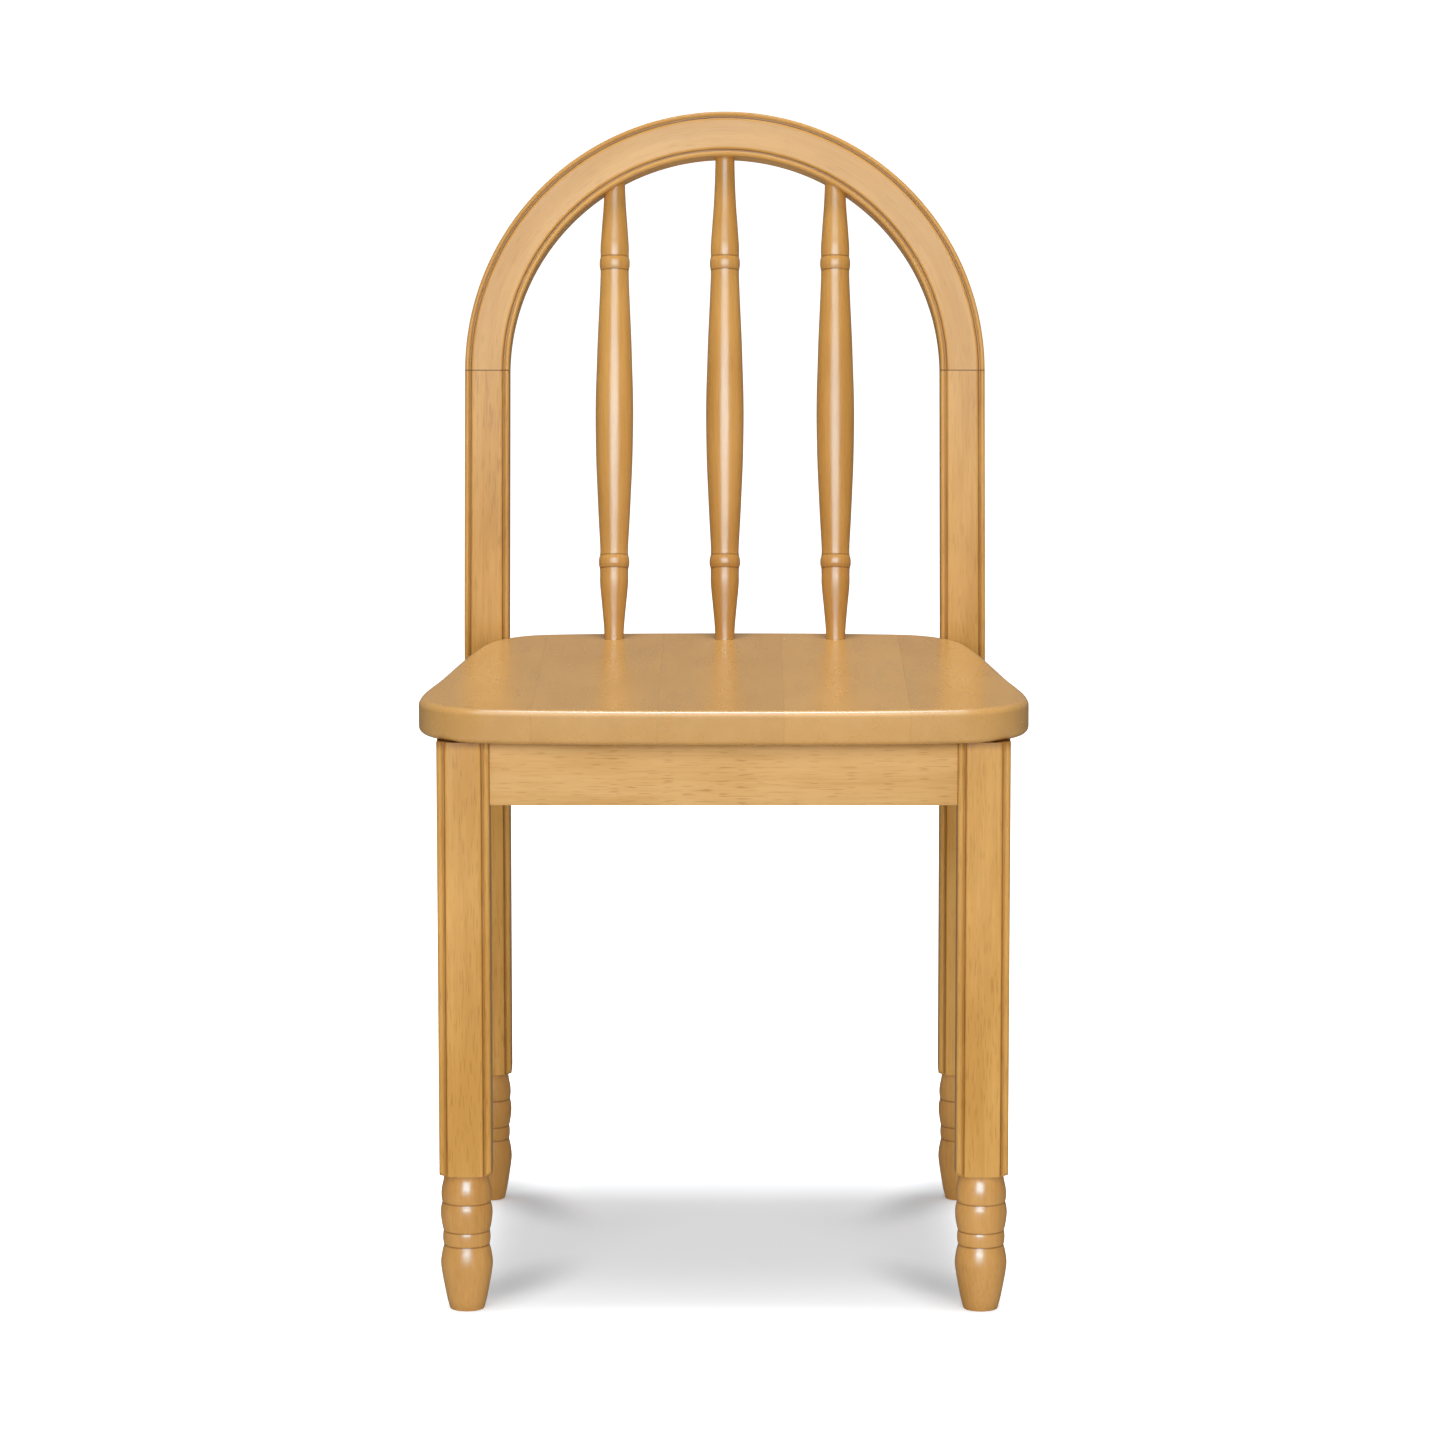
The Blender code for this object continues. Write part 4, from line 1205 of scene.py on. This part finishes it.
def background_rays(tree, place, studio):
    """One for rays that see the white background, and less for reflections, which stay deeper."""
    column, row = place
    rays = make_node(tree, "LightPath", place).outputs
    seen = (rays["Is Camera Ray"], rays["Is Transmission Ray"])
    white = maths(tree, (column + 1, row), "MAXIMUM", *seen)
    dim = maths(tree, (column + 1, row + 1), "MULTIPLY", rays["Is Glossy Ray"], studio.reflected)
    return maths(tree, (column + 2, row), "MAXIMUM", white, dim)


def pieces_named(start):
    """The pieces whose names start alike."""
    return [piece for piece in bpy.data.objects if piece.name.startswith(start)]


def add_floor(studio):
    """A plain pale floor that keeps the chair's shadow and is lifted to white round it.

    The lift is light that only the camera sees: full outside the chair's footprint, less under the
    chair, where it paints the shadow darker, and least in an arm that reaches inwards from each
    foot, a painted shadow.
    """
    bm = bmesh.new()
    bmesh.ops.create_circle(bm, cap_ends=True, segments=FLOOR_SEGMENTS, radius=FLOOR_RADIUS)
    mesh = bpy.data.meshes.new("floor")
    bm.to_mesh(mesh)
    bm.free()
    floor = placed("floor", mesh)
    material, tree, _ = new_material("Pale floor")
    tree.nodes.clear()
    place = make_node(tree, "TexCoord", (0, 0)).outputs["Object"]
    quarter = vector_maths(tree, (1, 0), "ABSOLUTE", place).outputs[0]
    parts = make_node(tree, "SeparateXYZ", (2, 0), {0: quarter}).outputs
    across = ranged(tree, (3, 0), parts["X"], FADE_ACROSS, (studio.lift, 1.0))
    deep = ranged(tree, (3, 1), parts["Y"], FADE_DEEP, (studio.lift, 1.0))
    lift = maths(tree, (4, 0), "MAXIMUM", across, deep)
    inputs = {"Vector": quarter, "Location": ARM_PLACE, "Scale": ARM_REACH}
    inputs["Rotation"] = (0, 0, ARM_TURN)
    arm = make_node(tree, "Mapping", (3, 2), inputs, vector_type="TEXTURE")
    reach = vector_maths(tree, (4, 2), "LENGTH", arm.outputs[0]).outputs["Value"]
    contact = ranged(tree, (5, 2), reach, (0.0, 1.0), (studio.contact, 1.0))
    lift = maths(tree, (5, 0), "MULTIPLY", lift, contact)
    strength = maths(tree, (6, 0), "MULTIPLY", lift, background_rays(tree, (0, 4), studio))
    glow = make_node(tree, "Emission", (7, 0), {"Strength": strength})
    matt = make_node(tree, "BsdfDiffuse", (6, 1), {"Color": rgba(studio.floor)})
    inputs = {0: matt.outputs[0], 1: glow.outputs[0]}
    both = make_node(tree, "AddShader", (8, 0), inputs)
    rays = make_node(tree, "LightPath", (7, 3))
    dim = make_node(tree, "Emission", (8, 2), {"Strength": studio.reflected})
    inputs = {0: rays.outputs["Is Glossy Ray"], 1: both.outputs[0], 2: dim.outputs[0]}
    whole = make_node(tree, "MixShader", (9, 0), inputs)
    make_node(tree, "OutputMaterial", (10, 0), {"Surface": whole.outputs[0]})
    mesh.materials.append(material)
    return floor


def add_surroundings(studio):
    """White to the camera, dim in reflections, and a plain dim fill light otherwise."""
    world = bpy.data.worlds.new("Plain studio")
    world.use_nodes = True
    tree = world.node_tree
    tree.nodes.clear()
    seen = background_rays(tree, (0, 0), studio)
    strength = maths(tree, (4, 0), "MAXIMUM", seen, studio.ambient)
    inputs = {"Color": rgba((1, 1, 1)), "Strength": strength}
    plain = make_node(tree, "Background", (5, 0), inputs)
    make_node(tree, "OutputWorld", (6, 0), {"Surface": plain.outputs[0]})
    bpy.context.scene.world = world


def add_light(name, power, side=None, mirrored=True, only=None):
    """A rectangular soft light that faces the chair, and may light only some objects."""
    (x, y, z), extent = LAMPS[name]
    if side:
        name, x = f"{name}_{side}", x * SIDES[side]
    light = bpy.data.lights.new(name, "AREA")
    light.shape = "RECTANGLE"
    light.size, light.size_y = extent
    light.energy = power
    lamp = placed(name, light)
    lamp.location = (x, y, z)
    lamp.rotation_euler = (Vector((x, y, z)) - LIT_POINT).to_track_quat("Z", "Y").to_euler()
    lamp.visible_camera = False
    lamp.visible_glossy = mirrored
    if only:
        lit = bpy.data.collections.new(f"lit_by_{name}")
        for receiver in only:
            lit.objects.link(receiver)
        lamp.light_linking.receiver_collection = lit
    return lamp


def add_camera():
    """The camera at the photograph's place and angle."""
    data = bpy.data.cameras.new("camera")
    data.sensor_width = SENSOR_WIDTH
    data.lens = SENSOR_WIDTH * FOCAL_PIXELS / FRAME_PIXELS
    camera = placed("camera", data)
    pitch, yaw, roll = (math.radians(turn) for turn in CAMERA_TURNS)
    camera.matrix_world = (
        Matrix.Translation(CAMERA_PLACE)
        @ Matrix.Rotation(yaw, 4, "Z")
        @ Matrix.Rotation(math.pi / 2 - pitch, 4, "X")
        @ Matrix.Rotation(roll, 4, "Z")
    )
    bpy.context.scene.camera = camera


class BuildStudio(bpy.types.Operator):
    """Build the floor, the lights and the camera"""

    bl_idname = "spindle_chair.build_studio"
    bl_label = "Build Studio"

    def execute(self, context):
        studio = settings().studio
        floor = add_floor(studio)
        add_surroundings(studio)
        spindles, bends = pieces_named("turned_spindle"), pieces_named("bent")
        add_light("key_light", studio.key, mirrored=False)
        add_light("top_light", studio.top)
        for side in SIDES:
            add_light("rear_light", studio.rear, side, mirrored=False)
            add_light("side_light", studio.side, side, only=[floor])
        for name, power, only in (
            ("high_glow", studio.high_glow, spindles + bends),
            ("middle_glow", studio.middle_glow, spindles),
            ("rim_glow", studio.rim_glow, pieces_named("seat_board")),
            ("low_glow", studio.low_glow, pieces_named("turned_leg")),
        ):
            add_light(name, power, only=only).visible_diffuse = False
        add_camera()
        bpy.context.scene.view_settings.view_transform = "Standard"
        return {"FINISHED"}


class ChairSettings(bpy.types.PropertyGroup):
    seat: PointerProperty(type=SeatSizes)
    posts: PointerProperty(type=PostSizes)
    spindles: PointerProperty(type=SpindleSizes)
    wood: PointerProperty(type=WoodFinish)
    studio: PointerProperty(type=StudioSettings)


OPERATORS = (
    BuildSeat,
    BuildFrontLegs,
    BuildBackPosts,
    BuildBow,
    BuildSpindles,
    BuildAprons,
    FinishBlocks,
    BuildStudio,
)


class ChairPanel(bpy.types.Panel):
    """Sizes, finishes and builders of the spindle back chair"""

    bl_idname = "VIEW3D_PT_spindle_chair"
    bl_label = "Spindle Back Chair"
    bl_space_type = "VIEW_3D"
    bl_region_type = "UI"
    bl_category = "Chair"

    def draw(self, context):
        for name in ("seat", "posts", "spindles", "wood", "studio"):
            box = self.layout.box()
            box.label(text=name.capitalize())
            group = getattr(context.scene.spindle_chair, name)
            for key in group.__annotations__:
                box.prop(group, key)
        for operator in OPERATORS:
            self.layout.operator(operator.bl_idname)


CLASSES = (
    SeatSizes,
    PostSizes,
    SpindleSizes,
    WoodFinish,
    StudioSettings,
    ChairSettings,
    *OPERATORS,
    ChairPanel,
)


def register():
    for item in CLASSES:
        bpy.utils.register_class(item)
    bpy.types.Scene.spindle_chair = PointerProperty(type=ChairSettings)


def unregister():
    del bpy.types.Scene.spindle_chair
    for item in reversed(CLASSES):
        bpy.utils.unregister_class(item)


def main():
    """Builds the whole picture."""
    register()
    bpy.ops.spindle_chair.build_seat()
    bpy.ops.spindle_chair.build_front_legs()
    bpy.ops.spindle_chair.build_back_posts()
    bpy.ops.spindle_chair.build_bow()
    bpy.ops.spindle_chair.build_spindles()
    bpy.ops.spindle_chair.build_aprons()
    bpy.ops.spindle_chair.finish_blocks()
    bpy.ops.spindle_chair.build_studio()


if __name__ == "__main__":
    main()
